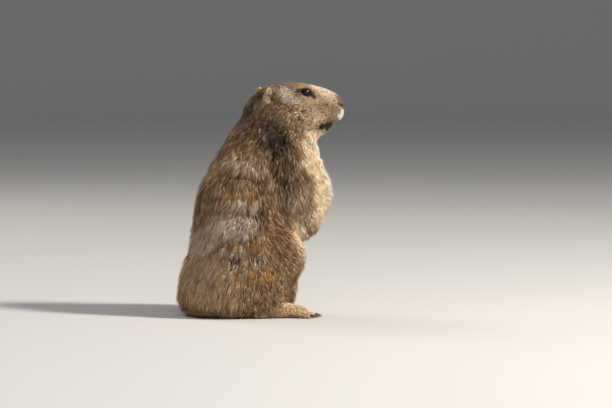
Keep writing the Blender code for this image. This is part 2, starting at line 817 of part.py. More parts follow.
def build_nodes():
    nodes = {}
    body = build_body()
    head = build_head()
    nose = build_nose()
    cut_away(head, grown(nose, GAP), "MANIFOLD")
    cut_mouth(head)
    nodes["head"] = head
    nodes["nose"] = nose
    for side, word in SIDES:
        cut_lids(head, side)
        nodes[f"eye_{word}"] = build_eye(side)
    for side, word in SIDES:
        ear = build_ear(side)
        trim(ear, head)
        nodes[f"ear_{word}"] = ear
        forepaw = build_forepaw(side)
        foot = build_foot(side)
        cut_away(body, grown(forepaw, GAP), "MANIFOLD")
        cut_away(body, grown(foot, GAP), "MANIFOLD")
        nodes.update(build_claws(forepaw, fingers(), forepaw_frame(side), f"claw_fore_{word}", 0.0035))
        nodes.update(build_claws(foot, toes(side), foot_frame(side), f"claw_hind_{word}", 0.0012))
        nodes[f"forepaw_{word}"] = forepaw
        nodes[f"hind_foot_{word}"] = foot
    for side, word in SIDES:
        nodes.update(part_limbs(body, side, word))
    nodes.update(part_trunk(body))
    tail = build_tail()
    for name in ("torso_lower", "thigh_left", "hind_foot_left"):
        trim(tail, nodes[name])
    nodes["tail"] = tail
    return nodes


def finish(nodes):
    """Names, colours and places the nodes under one empty at the middle of their base."""
    finishes = {
        "head": new_material("fur_head", GREY_BROWN, 0.85),
        "neck": new_material("fur_throat", CREAM, 0.85),
        "tail": new_material("fur_tail", BLACK_BROWN, 0.85),
        "claw": new_material("claw_horn", HORN, 0.45),
        "nose": new_material("nose_leather", NOSE_BROWN, 0.5),
        "eye": new_material("eye_black", EYE_BLACK, 0.08),
    }
    coat = new_material("fur_body", RUFOUS, 0.85)
    corners = []
    for name, item in nodes.items():
        item.name = name
        item.data.materials.clear()
        item.data.materials.append(finishes.get(name.split("_")[0], coat))
        WORKSHOP.objects.unlink(item)
        MARMOT.objects.link(item)
        corners += [vertex.co.copy() for vertex in item.data.vertices]
    middle = [(min(c[axis] for c in corners) + max(c[axis] for c in corners)) / 2 for axis in range(2)]
    root = bpy.data.objects.new("marmot", None)
    root.location = (-middle[0], -middle[1], 0.0)
    MARMOT.objects.link(root)
    for item in nodes.values():
        at = sum((Vector(corner) for corner in item.bound_box), Vector()) / 8
        item.data.transform(Matrix.Translation(-at))
        item.location = at
        item.parent = root
    for item in WORKSHOP.objects:
        item.hide_render = True
        item.display_type = "WIRE"


finish(build_nodes())
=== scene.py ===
import math

import bpy
import numpy as np
from mathutils import Matrix, Vector
from mathutils.bvhtree import BVHTree
from mathutils.kdtree import KDTree


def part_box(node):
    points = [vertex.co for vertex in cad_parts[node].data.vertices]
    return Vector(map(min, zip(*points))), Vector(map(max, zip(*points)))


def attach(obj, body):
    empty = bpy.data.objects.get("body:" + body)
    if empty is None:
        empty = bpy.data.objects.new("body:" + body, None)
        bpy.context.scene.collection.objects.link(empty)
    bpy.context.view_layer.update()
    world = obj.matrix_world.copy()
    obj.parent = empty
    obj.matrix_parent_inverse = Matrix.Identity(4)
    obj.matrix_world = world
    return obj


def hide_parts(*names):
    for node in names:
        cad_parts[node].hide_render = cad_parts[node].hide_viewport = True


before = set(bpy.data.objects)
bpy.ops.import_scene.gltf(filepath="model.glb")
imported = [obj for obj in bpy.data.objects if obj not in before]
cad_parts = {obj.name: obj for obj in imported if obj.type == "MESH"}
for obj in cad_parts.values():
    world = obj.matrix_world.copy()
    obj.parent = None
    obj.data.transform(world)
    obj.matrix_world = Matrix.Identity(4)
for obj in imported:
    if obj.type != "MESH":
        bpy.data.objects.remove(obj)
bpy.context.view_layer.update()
body = "root"
print("frame loaded:", len(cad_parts), "nodes")

# Places below are measured from the floor point, which the right eye fixes.
eyeFromFloorPoint = Vector((0.05778, -0.03254, 0.28850))
eyeCentre = sum(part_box("eye_right"), Vector()) / 2
floorPoint = eyeCentre - eyeFromFloorPoint
headFromFloorPoint = Vector((0.0097, 0.0, 0.255))
headYaw = math.radians(-10)
headTurn = Matrix.Translation(floorPoint + headFromFloorPoint) @ Matrix.Rotation(headYaw, 4, "Z")


# Shader helpers

class Value:  # one socket, so that sums on it add Math nodes
    def __init__(self, look, socket):
        self.look = look
        self.socket = socket

    def maths(self, operation, first, second):
        node = self.look.add("ShaderNodeMath", {"operation": operation}, {0: first, 1: second})
        return Value(self.look, node.outputs[0])

    def __add__(self, other):
        return self.maths("ADD", self, other)

    __radd__ = __add__

    def __mul__(self, other):
        return self.maths("MULTIPLY", self, other)

    __rmul__ = __mul__

    def __sub__(self, other):
        return self.maths("SUBTRACT", self, other)

    def __rsub__(self, other):
        return self.maths("SUBTRACT", other, self)


class Look:  # one material and its nodes
    def __init__(self, name, **fixed):
        self.material = bpy.data.materials.new(name)
        self.material.use_nodes = True
        self.nodes = self.material.node_tree.nodes
        self.links = self.material.node_tree.links
        self.shader = self.nodes["Principled BSDF"]
        for socket, value in fixed.items():
            self.shader.inputs[socket.replace("_", " ")].default_value = value

    def add(self, kind, settings=None, sockets=None):
        node = self.nodes.new(kind)
        for key, value in (settings or {}).items():
            setattr(node, key, value)
        for key, value in (sockets or {}).items():
            self.feed(node.inputs[key], value)
        return node

    def feed(self, socket, value):
        if isinstance(value, Value):
            self.links.new(value.socket, socket)
        else:
            socket.default_value = value

    def out(self, node, index=0):
        return Value(self, node.outputs[index])

    def attribute(self, name, output="Fac"):
        return self.out(self.add("ShaderNodeAttribute", {"attribute_name": name}), output)

    def parts(self, vector):
        node = self.add("ShaderNodeSeparateXYZ", sockets={0: vector})
        return [self.out(node, index) for index in range(3)]

    def mix(self, factor, first, second):
        node = self.add("ShaderNodeMix", {"data_type": "RGBA"}, {0: factor, 6: first, 7: second})
        return self.out(node, 2)

    def scaled(self, vector, factor):
        node = self.add("ShaderNodeVectorMath", {"operation": "SCALE"}, {0: vector, "Scale": factor})
        return self.out(node)

    def noise(self, vector, scale, detail=2.0):
        node = self.add("ShaderNodeTexNoise", sockets={"Vector": vector, "Scale": scale, "Detail": detail})
        return self.out(node)

    def ranged(self, value, low, high, newLow=0.0, newHigh=1.0):
        sockets = {0: value, 1: low, 2: high, 3: newLow, 4: newHigh}
        return self.out(self.add("ShaderNodeMapRange", {"interpolation_type": "SMOOTHSTEP"}, sockets))

    def bump(self, strength, distance, height):
        sockets = {"Strength": strength, "Distance": distance, "Height": height}
        return self.out(self.add("ShaderNodeBump", sockets=sockets))

    def finish(self, **sockets):
        for key, value in sockets.items():
            self.feed(self.shader.inputs[key.replace("_", " ")], value)
        return self.material


# Camera, floor and light

shot = {
    "aimFromEye": (0.0065, 0.0146, -0.1450), "azimuth": -22, "elevation": 3, "distance": 4.5,
    "lens": 203.6, "sensor": 36, "farthest": 60,
}


def placed(name, data):
    made = bpy.data.objects.new(name, data)
    bpy.context.scene.collection.objects.link(made)
    return made


def lookAlong(item, way):
    item.rotation_mode = "QUATERNION"
    item.rotation_quaternion = way.to_track_quat("-Z", "Y")


def makeCamera():
    data = bpy.data.cameras.new("camera")
    data.lens = shot["lens"]
    data.sensor_width = shot["sensor"]
    data.clip_end = shot["farthest"]
    made = placed("camera", data)
    turn, rise = math.radians(shot["azimuth"]), math.radians(shot["elevation"])
    back = Vector((math.sin(turn) * math.cos(rise), -math.cos(turn) * math.cos(rise), math.sin(rise)))
    aim = eyeCentre + Vector(shot["aimFromEye"])
    made.location = aim + back * shot["distance"]
    lookAlong(made, -back)
    bpy.context.scene.camera = made


room = {
    "floorRadius": 9.0, "bend": 4.0, "bendSteps": 12, "wallTop": 12.0, "steps": 96,
    "floorRings": (0.02, 0.2, 0.5, 1.0), "roughness": 0.95, "lampAim": (0, 0, 0.15),
    "floorColour": (0.50, 0.495, 0.485, 1), "wallColour": (0.50, 0.53, 0.57, 1),
    "airColour": (0.80, 0.81, 0.84, 1), "airStrength": 0.42,
    # name, place, size, watts, colour
    "lamps": (
        ("key", (2.15, -2.10, 2.40), 0.55, 255.0, (1.0, 0.94, 0.84)),
        ("fill", (-1.1, -4.0, 1.5), 2.2, 52.0, (0.97, 0.97, 1.0)),
        ("rim", (-1.0, 2.6, 2.2), 1.8, 40.0, (1.0, 0.96, 0.90)),
    ),
}


def makeBowl():
    # A round floor that bends up into a wall, so that no horizon shows.
    steps, radius, bend = room["steps"], room["floorRadius"], room["bend"]
    profile = [(radius * share, 0.0) for share in room["floorRings"]]
    for step in range(1, room["bendSteps"] + 1):
        turn = math.pi / 2 * step / room["bendSteps"]
        profile.append((radius + bend * math.sin(turn), bend * (1 - math.cos(turn))))
    profile.append((radius + bend, room["wallTop"]))
    rings = len(profile)
    points = [(out * math.cos(2 * math.pi * step / steps), out * math.sin(2 * math.pi * step / steps), high)
              for out, high in profile for step in range(steps)]
    faces = [tuple(range(steps))]
    for ring in range(rings - 1):
        for step in range(steps):
            after = (step + 1) % steps
            low, high = ring * steps, (ring + 1) * steps
            faces.append((low + step, high + step, high + after, low + after))
    mesh = bpy.data.meshes.new("floor")
    mesh.from_pydata(points, [], faces)
    mesh.shade_smooth()
    floor = placed("floor", mesh)
    look = Look("floorPaint", Roughness=room["roughness"])
    height = look.parts(look.out(look.add("ShaderNodeTexCoord"), 3))[2]
    colour = look.mix(look.ranged(height, 0.0, bend), room["floorColour"], room["wallColour"])
    mesh.materials.append(look.finish(Base_Color=colour))


def makeRoom():
    makeBowl()
    for name, place, side, watts, colour in room["lamps"]:
        data = bpy.data.lights.new(name, "AREA")
        data.size = side
        data.energy = watts
        data.color = colour
        lamp = placed(name, data)
        lamp.location = place
        lookAlong(lamp, Vector(room["lampAim"]) - lamp.location)
    world = bpy.data.worlds.new("air")
    world.use_nodes = True
    sky = world.node_tree.nodes["Background"]
    sky.inputs["Color"].default_value = room["airColour"]
    sky.inputs["Strength"].default_value = room["airStrength"]
    bpy.context.scene.world = world
    bpy.context.scene.view_settings.view_transform = "Standard"


makeCamera()
makeRoom()
print("camera, floor and lamps made")


# Mesh helpers

def meshArrays(mesh):
    mesh.calc_loop_triangles()
    points = np.empty(len(mesh.vertices) * 3, np.float32)
    mesh.vertices.foreach_get("co", points)
    faces = np.empty(len(mesh.loop_triangles) * 3, np.int32)
    mesh.loop_triangles.foreach_get("vertices", faces)
    return points.reshape(-1, 3).astype(float), faces.reshape(-1, 3)


def newMesh(name, points, faces):
    # Faces all have the same number of corners.
    mesh = bpy.data.meshes.new(name)
    corners = faces.shape[1]
    mesh.vertices.add(len(points))
    mesh.vertices.foreach_set("co", np.ascontiguousarray(points, np.float32).ravel())
    mesh.loops.add(faces.size)
    mesh.loops.foreach_set("vertex_index", np.ascontiguousarray(faces, np.int32).ravel())
    mesh.polygons.add(len(faces))
    mesh.polygons.foreach_set("loop_start", np.arange(0, faces.size, corners, dtype=np.int32))
    mesh.update(calc_edges=True)
    mesh.shade_smooth()
    return mesh


def newPiece(name, mesh, material, replaced=()):
    piece = placed(name, mesh)
    mesh.materials.clear()
    mesh.materials.append(material)
    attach(piece, body)
    if replaced:
        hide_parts(*replaced)
    return piece


def baked(item):
    graph = bpy.context.evaluated_depsgraph_get()
    mesh = bpy.data.meshes.new_from_object(item.evaluated_get(graph))
    bpy.data.objects.remove(item, do_unlink=True)
    return mesh


def addAttribute(mesh, name, kind, values):
    made = mesh.attributes.new(name, kind, "POINT")
    key = "vector" if kind == "FLOAT_VECTOR" else "value"
    made.data.foreach_set(key, np.ascontiguousarray(values, np.float32).ravel())


def normalsOf(points, faces):
    sides = np.cross(points[faces[:, 1]] - points[faces[:, 0]], points[faces[:, 2]] - points[faces[:, 0]])
    total = np.zeros_like(points)
    for corner in range(3):
        for axis in range(3):
            total[:, axis] += np.bincount(faces[:, corner], sides[:, axis], len(points))
    return unit(total)


def unit(vectors):
    return vectors / np.maximum(np.linalg.norm(vectors, axis=-1, keepdims=True), 1e-12)


def spread(values, faces, rounds, share=0.6):
    # Evens out values over the mesh by averaging neighbours.
    links = np.concatenate([faces[:, [0, 1]], faces[:, [1, 2]], faces[:, [2, 0]]])
    count = np.maximum(np.bincount(links[:, 0], minlength=len(values)), 1)
    flat = values.reshape(len(values), -1).astype(float)
    for _ in range(rounds):
        total = np.empty_like(flat)
        for axis in range(flat.shape[1]):
            total[:, axis] = np.bincount(links[:, 0], flat[links[:, 1], axis], len(values)) / count
        flat = flat + (total - flat) * share
    return flat.reshape(values.shape)


waves = {"count": 7, "pace": (1.5, 4.0), "turn": 6.28, "sway": 1.3, "height": 3.2}


def cloud(points, size, seed):
    # A soft random field, about -1 to 1, whose blobs are as big as the size.
    draw = np.random.default_rng(seed)
    total = np.zeros(len(points))
    for _ in range(waves["count"]):
        aim = unit(draw.normal(size=3)) / size * draw.uniform(*waves["pace"])
        first = draw.uniform(0, waves["turn"])
        second = draw.uniform(0, waves["turn"])
        total += np.sin(points @ aim + first + waves["sway"] * np.sin(points @ aim[::-1] + second))
    return total / waves["height"]


def smoothStep(values, low, high):
    share = np.clip((values - low) / (high - low), 0, 1)
    return share * share * (3 - 2 * share)


def headPlace(x, y, z):
    return headTurn @ Vector((x, y, z))


def inHead(points):
    turn = np.array(headTurn.inverted())
    return points @ turn[:3, :3].T + turn[:3, 3]


# Markings and folds, set out as the animal is seen from its right side, in millimetres ahead of the floor point
# and up from the floor. A mark is its pigment, strength, centre, half sizes, tilt in degrees and softness of edge,
# and a fold has how far it lifts the coat in place of pigment and strength. Some dark marks are painted shade: in
# the grooves of folds, under the jaw and along the far edges of the back and rump. One cream mark is painted light
# on the knee's edge.

pigments = ("tan", "brown", "rufous", "orange", "grey", "cream", "white", "dark", "black")
marks = (
    ("tan", 0.85, (42.9, 295.8), (33.8, 7.2), 2, 0.7),
    ("brown", 0.80, (37.7, 297.4), (22.2, 5.4), 3, 0.7),
    ("orange", 0.30, (61.1, 297.1), (11.7, 2.9), -3, 0.7),
    ("brown", 0.80, (9.1, 255.5), (26.0, 26.0), 0, 0.7),
    ("tan", 0.80, (79.3, 272.4), (22.1, 15.6), -8, 0.6),
    ("tan", 0.70, (62.4, 252.9), (18.2, 15.6), 0, 0.8),
    ("grey", 0.85, (41.6, 282.8), (13.7, 10.4), -28, 0.5),
    ("white", 0.55, (38.4, 287.9), (6.5, 5.2), 0, 0.7),
    ("white", 0.50, (50.1, 276.2), (7.8, 4.7), -15, 0.7),
    ("grey", 0.45, (61.1, 274.9), (11.7, 5.9), -5, 0.8),
    ("rufous", 0.75, (36.4, 270.8), (9.1, 3.1), -4, 0.6),
    ("orange", 0.60, (37.7, 266.4), (18.2, 2.0), -1, 0.6),
    # Painted shade: two dark lines in the groove of the cheek's fold.
    ("dark", 0.60, (58.5, 265.3), (10.4, 1.6), -4, 0.6),
    ("dark", 0.60, (41.6, 262.5), (13.0, 1.6), 14, 0.6),
    ("dark", 0.90, (58.5, 255.5), (7.0, 2.0), -57, 0.5),
    ("dark", 0.70, (51.4, 245.1), (4.2, 1.6), -62, 0.5),
    ("cream", 0.30, (45.5, 255.5), (11.7, 7.8), 10, 0.8),
    ("dark", 0.75, (21.4, 282.8), (3.4, 5.5), 0, 0.7),
    ("dark", 0.60, (31.2, 276.9), (9.1, 2.3), -25, 0.7),
    ("dark", 0.65, (-6.5, 264.6), (15.6, 5.2), 60, 0.7),
    ("dark", 0.60, (9.1, 284.1), (5.2, 10.4), -35, 0.8),
    ("dark", 0.95, (64.4, 288.8), (11.8, 4.6), -12, 0.45),
    ("black", 0.95, (55.5, 289.8), (5.0, 1.5), 2, 0.5),
    ("black", 0.90, (74.4, 284.4), (4.4, 1.3), -27, 0.5),
    ("cream", 0.80, (87.1, 291.2), (16.9, 5.6), -20, 0.5),
    ("white", 0.60, (92.3, 290.8), (14.3, 3.9), -21, 0.6),
    ("cream", 0.60, (98.8, 280.2), (8.5, 6.5), -35, 0.7),
    ("brown", 0.55, (87.1, 271.1), (11.7, 6.5), 0, 0.8),
    ("dark", 0.55, (83.6, 271.1), (3.9, 1.2), 85, 0.6),
    ("dark", 0.55, (93.1, 272.4), (4.4, 1.2), 85, 0.6),
    ("dark", 0.40, (100.1, 269.8), (3.9, 1.0), 80, 0.6),
    ("grey", 0.45, (102.7, 261.3), (6.5, 7.8), 0, 0.7),
    ("orange", 0.40, (107.2, 264.6), (3.0, 1.6), 75, 0.6),
    ("white", 1.0, (111.1, 260.4), (6.4, 3.6), 80, 0.4),
    ("cream", 0.55, (85.2, 254.8), (11.7, 4.7), 25, 0.7),
    ("orange", 0.45, (85.2, 237.2), (5.2, 2.9), 38, 0.6),
    # Painted shade under the jaw's lower edge.
    ("dark", 0.50, (93.6, 237.8), (6.5, 1.7), 38, 0.6),
    ("black", 0.95, (91.0, 244.8), (10.4, 3.5), 17, 0.35),
    ("dark", 0.88, (26.0, 228.2), (24.4, 16.6), -68, 0.7),
    ("dark", 0.40, (1.3, 242.5), (15.6, 11.7), 60, 0.8),
    ("orange", 0.55, (2.6, 226.8), (6.5, 1.7), 86, 0.6),
    ("cream", 0.85, (68.9, 232.1), (11.1, 6.5), -62, 0.6),
    ("orange", 0.80, (58.5, 217.8), (14.3, 8.5), -58, 0.6),
    ("cream", 0.55, (63.7, 215.2), (16.9, 9.1), -60, 0.6),
    ("cream", 0.95, (75.4, 190.5), (31.2, 11.1), -67, 0.4),
    ("cream", 0.95, (99.0, 182.0), (52.0, 15.0), -69, 0.5),
    ("cream", 0.80, (86.0, 224.0), (16.0, 12.0), -60, 0.6),
    ("cream", 0.95, (85.8, 152.8), (26.0, 12.3), -72, 0.4),
    ("cream", 0.85, (84.5, 126.8), (14.3, 13.0), 0, 0.5),
    ("orange", 0.35, (75.4, 120.2), (9.1, 11.7), 0, 0.7),
    ("white", 0.85, (87.8, 185.2), (44.2, 6.5), -69, 0.6),
    ("white", 0.75, (97.5, 145.0), (16.9, 6.5), -82, 0.6),
    ("dark", 0.62, (33.2, 192.7), (38.4, 15.6), -74, 0.6),
    ("brown", 0.60, (48.1, 155.3), (46.8, 16.9), -68, 0.7),
    ("grey", 0.45, (57.2, 138.5), (35.1, 13.0), -70, 0.7),
    ("tan", 0.45, (72.8, 129.3), (23.4, 9.1), -70, 0.7),
    ("orange", 0.35, (-15.6, 208.7), (23.4, 11.7), 4, 0.7),
    ("brown", 0.75, (-1.3, 215.1), (20.7, 24.2), 0, 0.7),
    ("grey", 0.90, (-42.9, 221.7), (14.3, 8.8), 52, 0.6),
    ("white", 0.75, (-40.9, 220.7), (12.3, 6.4), 52, 0.7),
    ("dark", 0.60, (-40.3, 208.7), (3.4, 5.9), 0, 0.6),
    ("tan", 0.55, (-53.3, 180.1), (26.0, 11.7), 52, 0.7),
    # Mostly painted shade: a dark band along the back's far edge, which faces away from the light.
    ("dark", 0.65, (-69.6, 158.5), (40.2, 8.5), 76, 0.7),
    ("brown", 0.45, (-54.6, 148.8), (33.8, 11.7), 62, 0.7),
    ("grey", 0.65, (-11.7, 189.8), (23.4, 7.8), -8, 0.6),
    # Painted shade in the groove of the fold below the grey patch.
    ("dark", 0.75, (-11.7, 178.0), (23.4, 2.5), -8, 0.5),
    ("dark", 0.50, (-27.3, 169.7), (13.0, 7.8), 0, 0.7),
    ("orange", 0.50, (-18.2, 154.1), (28.6, 7.8), -6, 0.7),
    ("brown", 0.45, (-3.9, 161.8), (18.2, 7.8), -20, 0.7),
    ("rufous", 0.55, (-53.3, 133.2), (28.6, 7.8), 58, 0.7),
    ("grey", 0.75, (-15.6, 141.1), (22.1, 6.8), -3, 0.5),
    ("grey", 0.95, (-24.7, 116.4), (29.9, 18.2), 6, 0.3),
    ("grey", 0.95, (-57.2, 96.9), (31.2, 11.1), 46, 0.35),
    ("white", 0.35, (-37.7, 120.2), (18.2, 10.4), 40, 0.8),
    ("white", 0.30, (-19.5, 112.5), (18.2, 11.7), 0, 0.8),
    # Painted shade: two dark lines in the groove of the fold below.
    ("dark", 0.60, (-28.6, 132.6), (11.7, 2.1), 6, 0.5),
    ("dark", 0.65, (-6.5, 129.6), (11.7, 2.6), -22, 0.5),
    ("dark", 0.55, (9.1, 130.7), (4.2, 14.3), 12, 0.6),
    ("rufous", 0.80, (11.7, 120.2), (6.5, 18.2), 10, 0.6),
    # Painted shade: dark lines in the grooves of the rump's folds.
    ("dark", 0.45, (-53.3, 82.5), (16.9, 2.1), 40, 0.6),
    ("dark", 0.40, (-18.2, 97.5), (16.9, 2.0), 0, 0.6),
    ("orange", 0.40, (-24.7, 91.7), (26.0, 4.7), 2, 0.7),
    ("grey", 0.80, (-26.0, 82.5), (15.6, 5.2), -2, 0.45),
    # Painted shade in the groove of the fold under the grey patch.
    ("dark", 0.65, (-29.9, 75.8), (13.0, 2.2), -3, 0.5),
    ("rufous", 0.95, (28.6, 120.2), (44.2, 19.5), -55, 0.6),
    ("tan", 0.45, (40.3, 133.2), (20.8, 7.8), -55, 0.8),
    ("orange", 0.45, (9.1, 90.4), (11.7, 15.6), 0, 0.7),
    ("rufous", 0.60, (35.1, 83.9), (20.8, 11.7), -35, 0.7),
    ("white", 0.30, (7.0, 74.0), (9.0, 7.0), -30, 0.8),
    ("dark", 0.35, (3.9, 63.1), (9.1, 3.9), -20, 0.8),
    ("orange", 0.75, (12.4, 56.0), (17.9, 9.5), 4, 0.6),
    ("tan", 0.80, (54.0, 99.5), (32.0, 14.0), -71, 0.8),
    # Painted light: the cream strip down the knee's front edge, where that edge catches the light.
    ("cream", 0.85, (60.5, 98.5), (32.0, 9.0), -71, 0.7),
    ("tan", 0.95, (-55.5, 46.2), (48.0, 38.0), 15, 0.8),
    ("orange", 0.40, (-22.1, 43.6), (23.4, 9.1), 5, 0.7),
    ("orange", 0.40, (-84.5, 18.9), (15.6, 18.2), 0, 0.7),
    ("dark", 0.40, (-53.3, 41.0), (3.9, 3.1), 0, 0.6),
    # Painted shade along the rump's far edge.
    ("dark", 0.55, (-92.3, 44.9), (5.2, 20.8), -10, 0.7),
    ("grey", 0.35, (-19.5, 60.5), (11.7, 7.8), 0, 0.8),
)
folds = (
    (0.55, (-14.3, 143.7), (26.0, 5.2), -4, 0.8),
    (-0.70, (-19.5, 131.3), (23.4, 3.4), -6, 0.7),
    (0.45, (-11.7, 189.2), (26.0, 7.8), -8, 0.8),
    (-0.65, (-11.7, 176.9), (26.0, 3.4), -8, 0.7),
    (-0.45, (-53.3, 81.2), (19.5, 3.4), 40, 0.7),
    (-0.40, (-18.2, 96.2), (19.5, 3.1), 0, 0.7),
    (-0.40, (-29.9, 74.8), (15.6, 3.1), -3, 0.7),
    (0.35, (-29.9, 116.4), (31.2, 13.0), 20, 0.9),
    (-0.50, (27.3, 139.8), (52.0, 3.6), -53, 0.7),
    (0.35, (58.5, 142.3), (44.2, 10.4), -68, 0.9),
    (-0.40, (41.6, 264.6), (26.0, 2.3), 3, 0.7),
    (0.35, (40.3, 278.9), (18.2, 10.4), 0, 0.9),
    (0.70, (-42.9, 220.3), (18.2, 7.8), 52, 0.9),
    (-0.35, (11.7, 68.2), (18.2, 3.4), -35, 0.8),
    (-0.40, (58.5, 229.5), (18.2, 3.4), -55, 0.8),
)
markPlan = {"ragged": 1.7, "raggedSize": 0.010, "spots": 2.4, "edge": 0.12, "foldDepth": 0.0016}


def sidePlan(points, headShare):
    # Where points lie as seen from the right, in millimetres, with the left side mirrored onto it.
    mirrored = inHead(points)
    mirrored[:, 1] = -np.abs(mirrored[:, 1])
    turn = np.array(headTurn)
    onHead = mirrored @ turn[:3, :3].T + turn[:3, 3] - np.array(floorPoint)
    onBody = points - np.array(floorPoint)
    onBody[:, 1] = -np.abs(onBody[:, 1])
    plan = onBody + (onHead - onBody) * headShare[:, None]
    camera = math.radians(shot["azimuth"])
    plan = np.stack([plan[:, 0] * math.cos(camera) + plan[:, 1] * math.sin(camera), plan[:, 2]], 1) * 1000
    ragged = np.stack([cloud(points, markPlan["raggedSize"], seed) for seed in (11, 12)], 1)
    return plan + ragged * markPlan["ragged"]


def inMark(plan, centre, half, tilt, soft):
    turn = math.radians(tilt)
    away = plan - np.array(centre)
    across = (away[:, 0] * math.cos(turn) + away[:, 1] * math.sin(turn)) / half[0]
    upward = (away[:, 1] * math.cos(turn) - away[:, 0] * math.sin(turn)) / half[1]
    return 1 - smoothStep(np.hypot(across, upward), 1 - soft, 1 + soft)


regionPigments = (
    ("ear", "orange", 0.45), ("ear", "cream", 0.75), ("tail", "dark", 0.85), ("forepaw", "tan", 0.8),
    ("hind_foot", "tan", 0.8),
)


def pigmentShares(plan, owner):
    shares = {name: np.zeros(len(plan)) for name in pigments}
    for name, strength, *place in marks:
        mark = strength * inMark(plan, *place)
        shares[name] = 1 - (1 - shares[name]) * (1 - mark)
        if name in ("cream", "white"):  # pale marks cover what dark ones came before them
            shares["dark"] *= 1 - mark
    for region, name, strength in regionPigments:
        there = owner == regions.index(region)
        shares[name][there] = np.maximum(shares[name][there], strength)
    return np.stack([shares[name] for name in pigments], 1)


def foldLift(plan):
    return sum(lift * inMark(plan, *place) for lift, *place in folds)


# On the head the coat follows the face: shortest at the muzzle and the eyes, longest on the lower cheek. Its rows
# are the first four numbers of a row of the coat.
face = {
    "muzzleStart": 0.056, "muzzleEnd": 0.092, "eyeNear": 0.0095, "eyeFar": 0.0200,
    "cheekStart": -0.005, "cheekEnd": 0.022,
    "muzzle": (0.0009, 0.0038, 0.00036, 3.9),
    "crown": (0.0018, 0.0066, 0.00046, 2.5),
    "cheek": (0.0036, 0.0125, 0.00056, 1.8),
    "eye": (0.0006, 0.0028, 0.00034, 4.4),
}

# Coat by region: how far the tips stand over the skin, length, width, tufts for each square millimetre, how far
# they stray from the lie, and how much the skin is smoothed.
coat = {
    "head": (*face["crown"], 0.19, 0.8),
    "ear": (0.0020, 0.0046, 0.00042, 3.6, 0.28, 0.4),
    "neck": (0.0056, 0.0170, 0.00074, 1.05, 0.22, 1.0),
    "torso_upper": (0.0060, 0.0190, 0.00080, 0.92, 0.22, 1.0),
    "torso_lower": (0.0062, 0.0195, 0.00080, 0.86, 0.24, 1.0),
    "upper_arm": (0.0056, 0.0170, 0.00074, 1.05, 0.20, 1.0),
    "forearm": (0.0036, 0.0125, 0.00064, 1.25, 0.21, 0.8),
    "forepaw": (0.0006, 0.0036, 0.00038, 2.6, 0.18, 0.25),
    "thigh": (0.0060, 0.0180, 0.00078, 0.95, 0.22, 1.0),
    "shank": (0.0036, 0.0120, 0.00064, 1.15, 0.21, 0.8),
    "hind_foot": (0.0008, 0.0044, 0.00044, 2.3, 0.18, 0.3),
    "tail": (0.0084, 0.0300, 0.00090, 1.9, 0.15, 1.0),
}
regions = tuple(coat)
fleshNodes = [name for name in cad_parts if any(name.startswith(region) for region in regions)]

tail = {
    "line": (
        (-0.050, 0.020, 0.0150), (-0.069, 0.050, 0.0145), (-0.070, 0.074, 0.0140), (-0.057, 0.091, 0.0135),
        (-0.036, 0.1005, 0.0130), (-0.011, 0.1040, 0.0130), (0.008, 0.1040, 0.0125),
    ),
    "radii": (0.0085, 0.0085, 0.0085, 0.0082, 0.0078, 0.0068, 0.0045), "steps": 60, "sides": 20,
    "rounds": 12, "evenShare": 0.25,
}
skinPlan = {
    "voxel": 0.0016, "smoothing": 12, "blendRounds": 26, "eyeFill": 0.0071, "noseFill": 0.85,
    "softenRounds": 4, "softenShare": 0.6, "lastRounds": 2, "unwrapAngle": 70, "unwrapMargin": 0.002,
}
def smoothLine(points, values, count):
    # Even places along a bent line, with its corners rounded off.
    points = np.array(points, float)
    along = np.concatenate([[0], np.cumsum(np.linalg.norm(np.diff(points, axis=0), axis=1))])
    even = np.linspace(0, along[-1], count)
    line = np.stack([np.interp(even, along, points[:, axis]) for axis in range(3)], 1)
    for _ in range(tail["rounds"]):
        line[1:-1] += (line[:-2] + line[2:] - 2 * line[1:-1]) * tail["evenShare"]
    return line, np.interp(even, along, values)


def directions(line):
    # Forward, across and upward directions at each place of a line.
    ahead = unit(np.gradient(line, axis=0))
    across = unit(np.cross(ahead, (0, 0, 1)))
    return ahead, across, np.cross(across, ahead)


def tube(line, radii, sides):
    # A closed round tube round the line, with a point at each end.
    ahead, across, upward = directions(line)
    turns = 2 * math.pi * np.arange(sides) / sides
    ring = np.cos(turns)[None, :, None] * across[:, None] + np.sin(turns)[None, :, None] * upward[:, None]
    points = (line[:, None] + ring * np.asarray(radii)[:, None, None]).reshape(-1, 3)
    count = len(line)
    corner = np.arange(count - 1)[:, None] * sides + np.arange(sides)[None]
    after = np.arange(count - 1)[:, None] * sides + (np.arange(sides)[None] + 1) % sides
    walls = np.concatenate([
        np.stack([corner, after, after + sides], -1), np.stack([corner, after + sides, corner + sides], -1)])
    first, last, end = len(points), len(points) + 1, (count - 1) * sides
    step = np.arange(sides)
    after = (step + 1) % sides
    caps = np.concatenate([
        np.stack([np.full(sides, first), after, step], 1),
        np.stack([np.full(sides, last), end + step, end + after], 1)])
    tips = np.stack([line[0] - ahead[0] * radii[0], line[-1] + ahead[-1] * radii[-1]])
    return np.concatenate([points, tips]), np.concatenate([walls.reshape(-1, 3), caps])


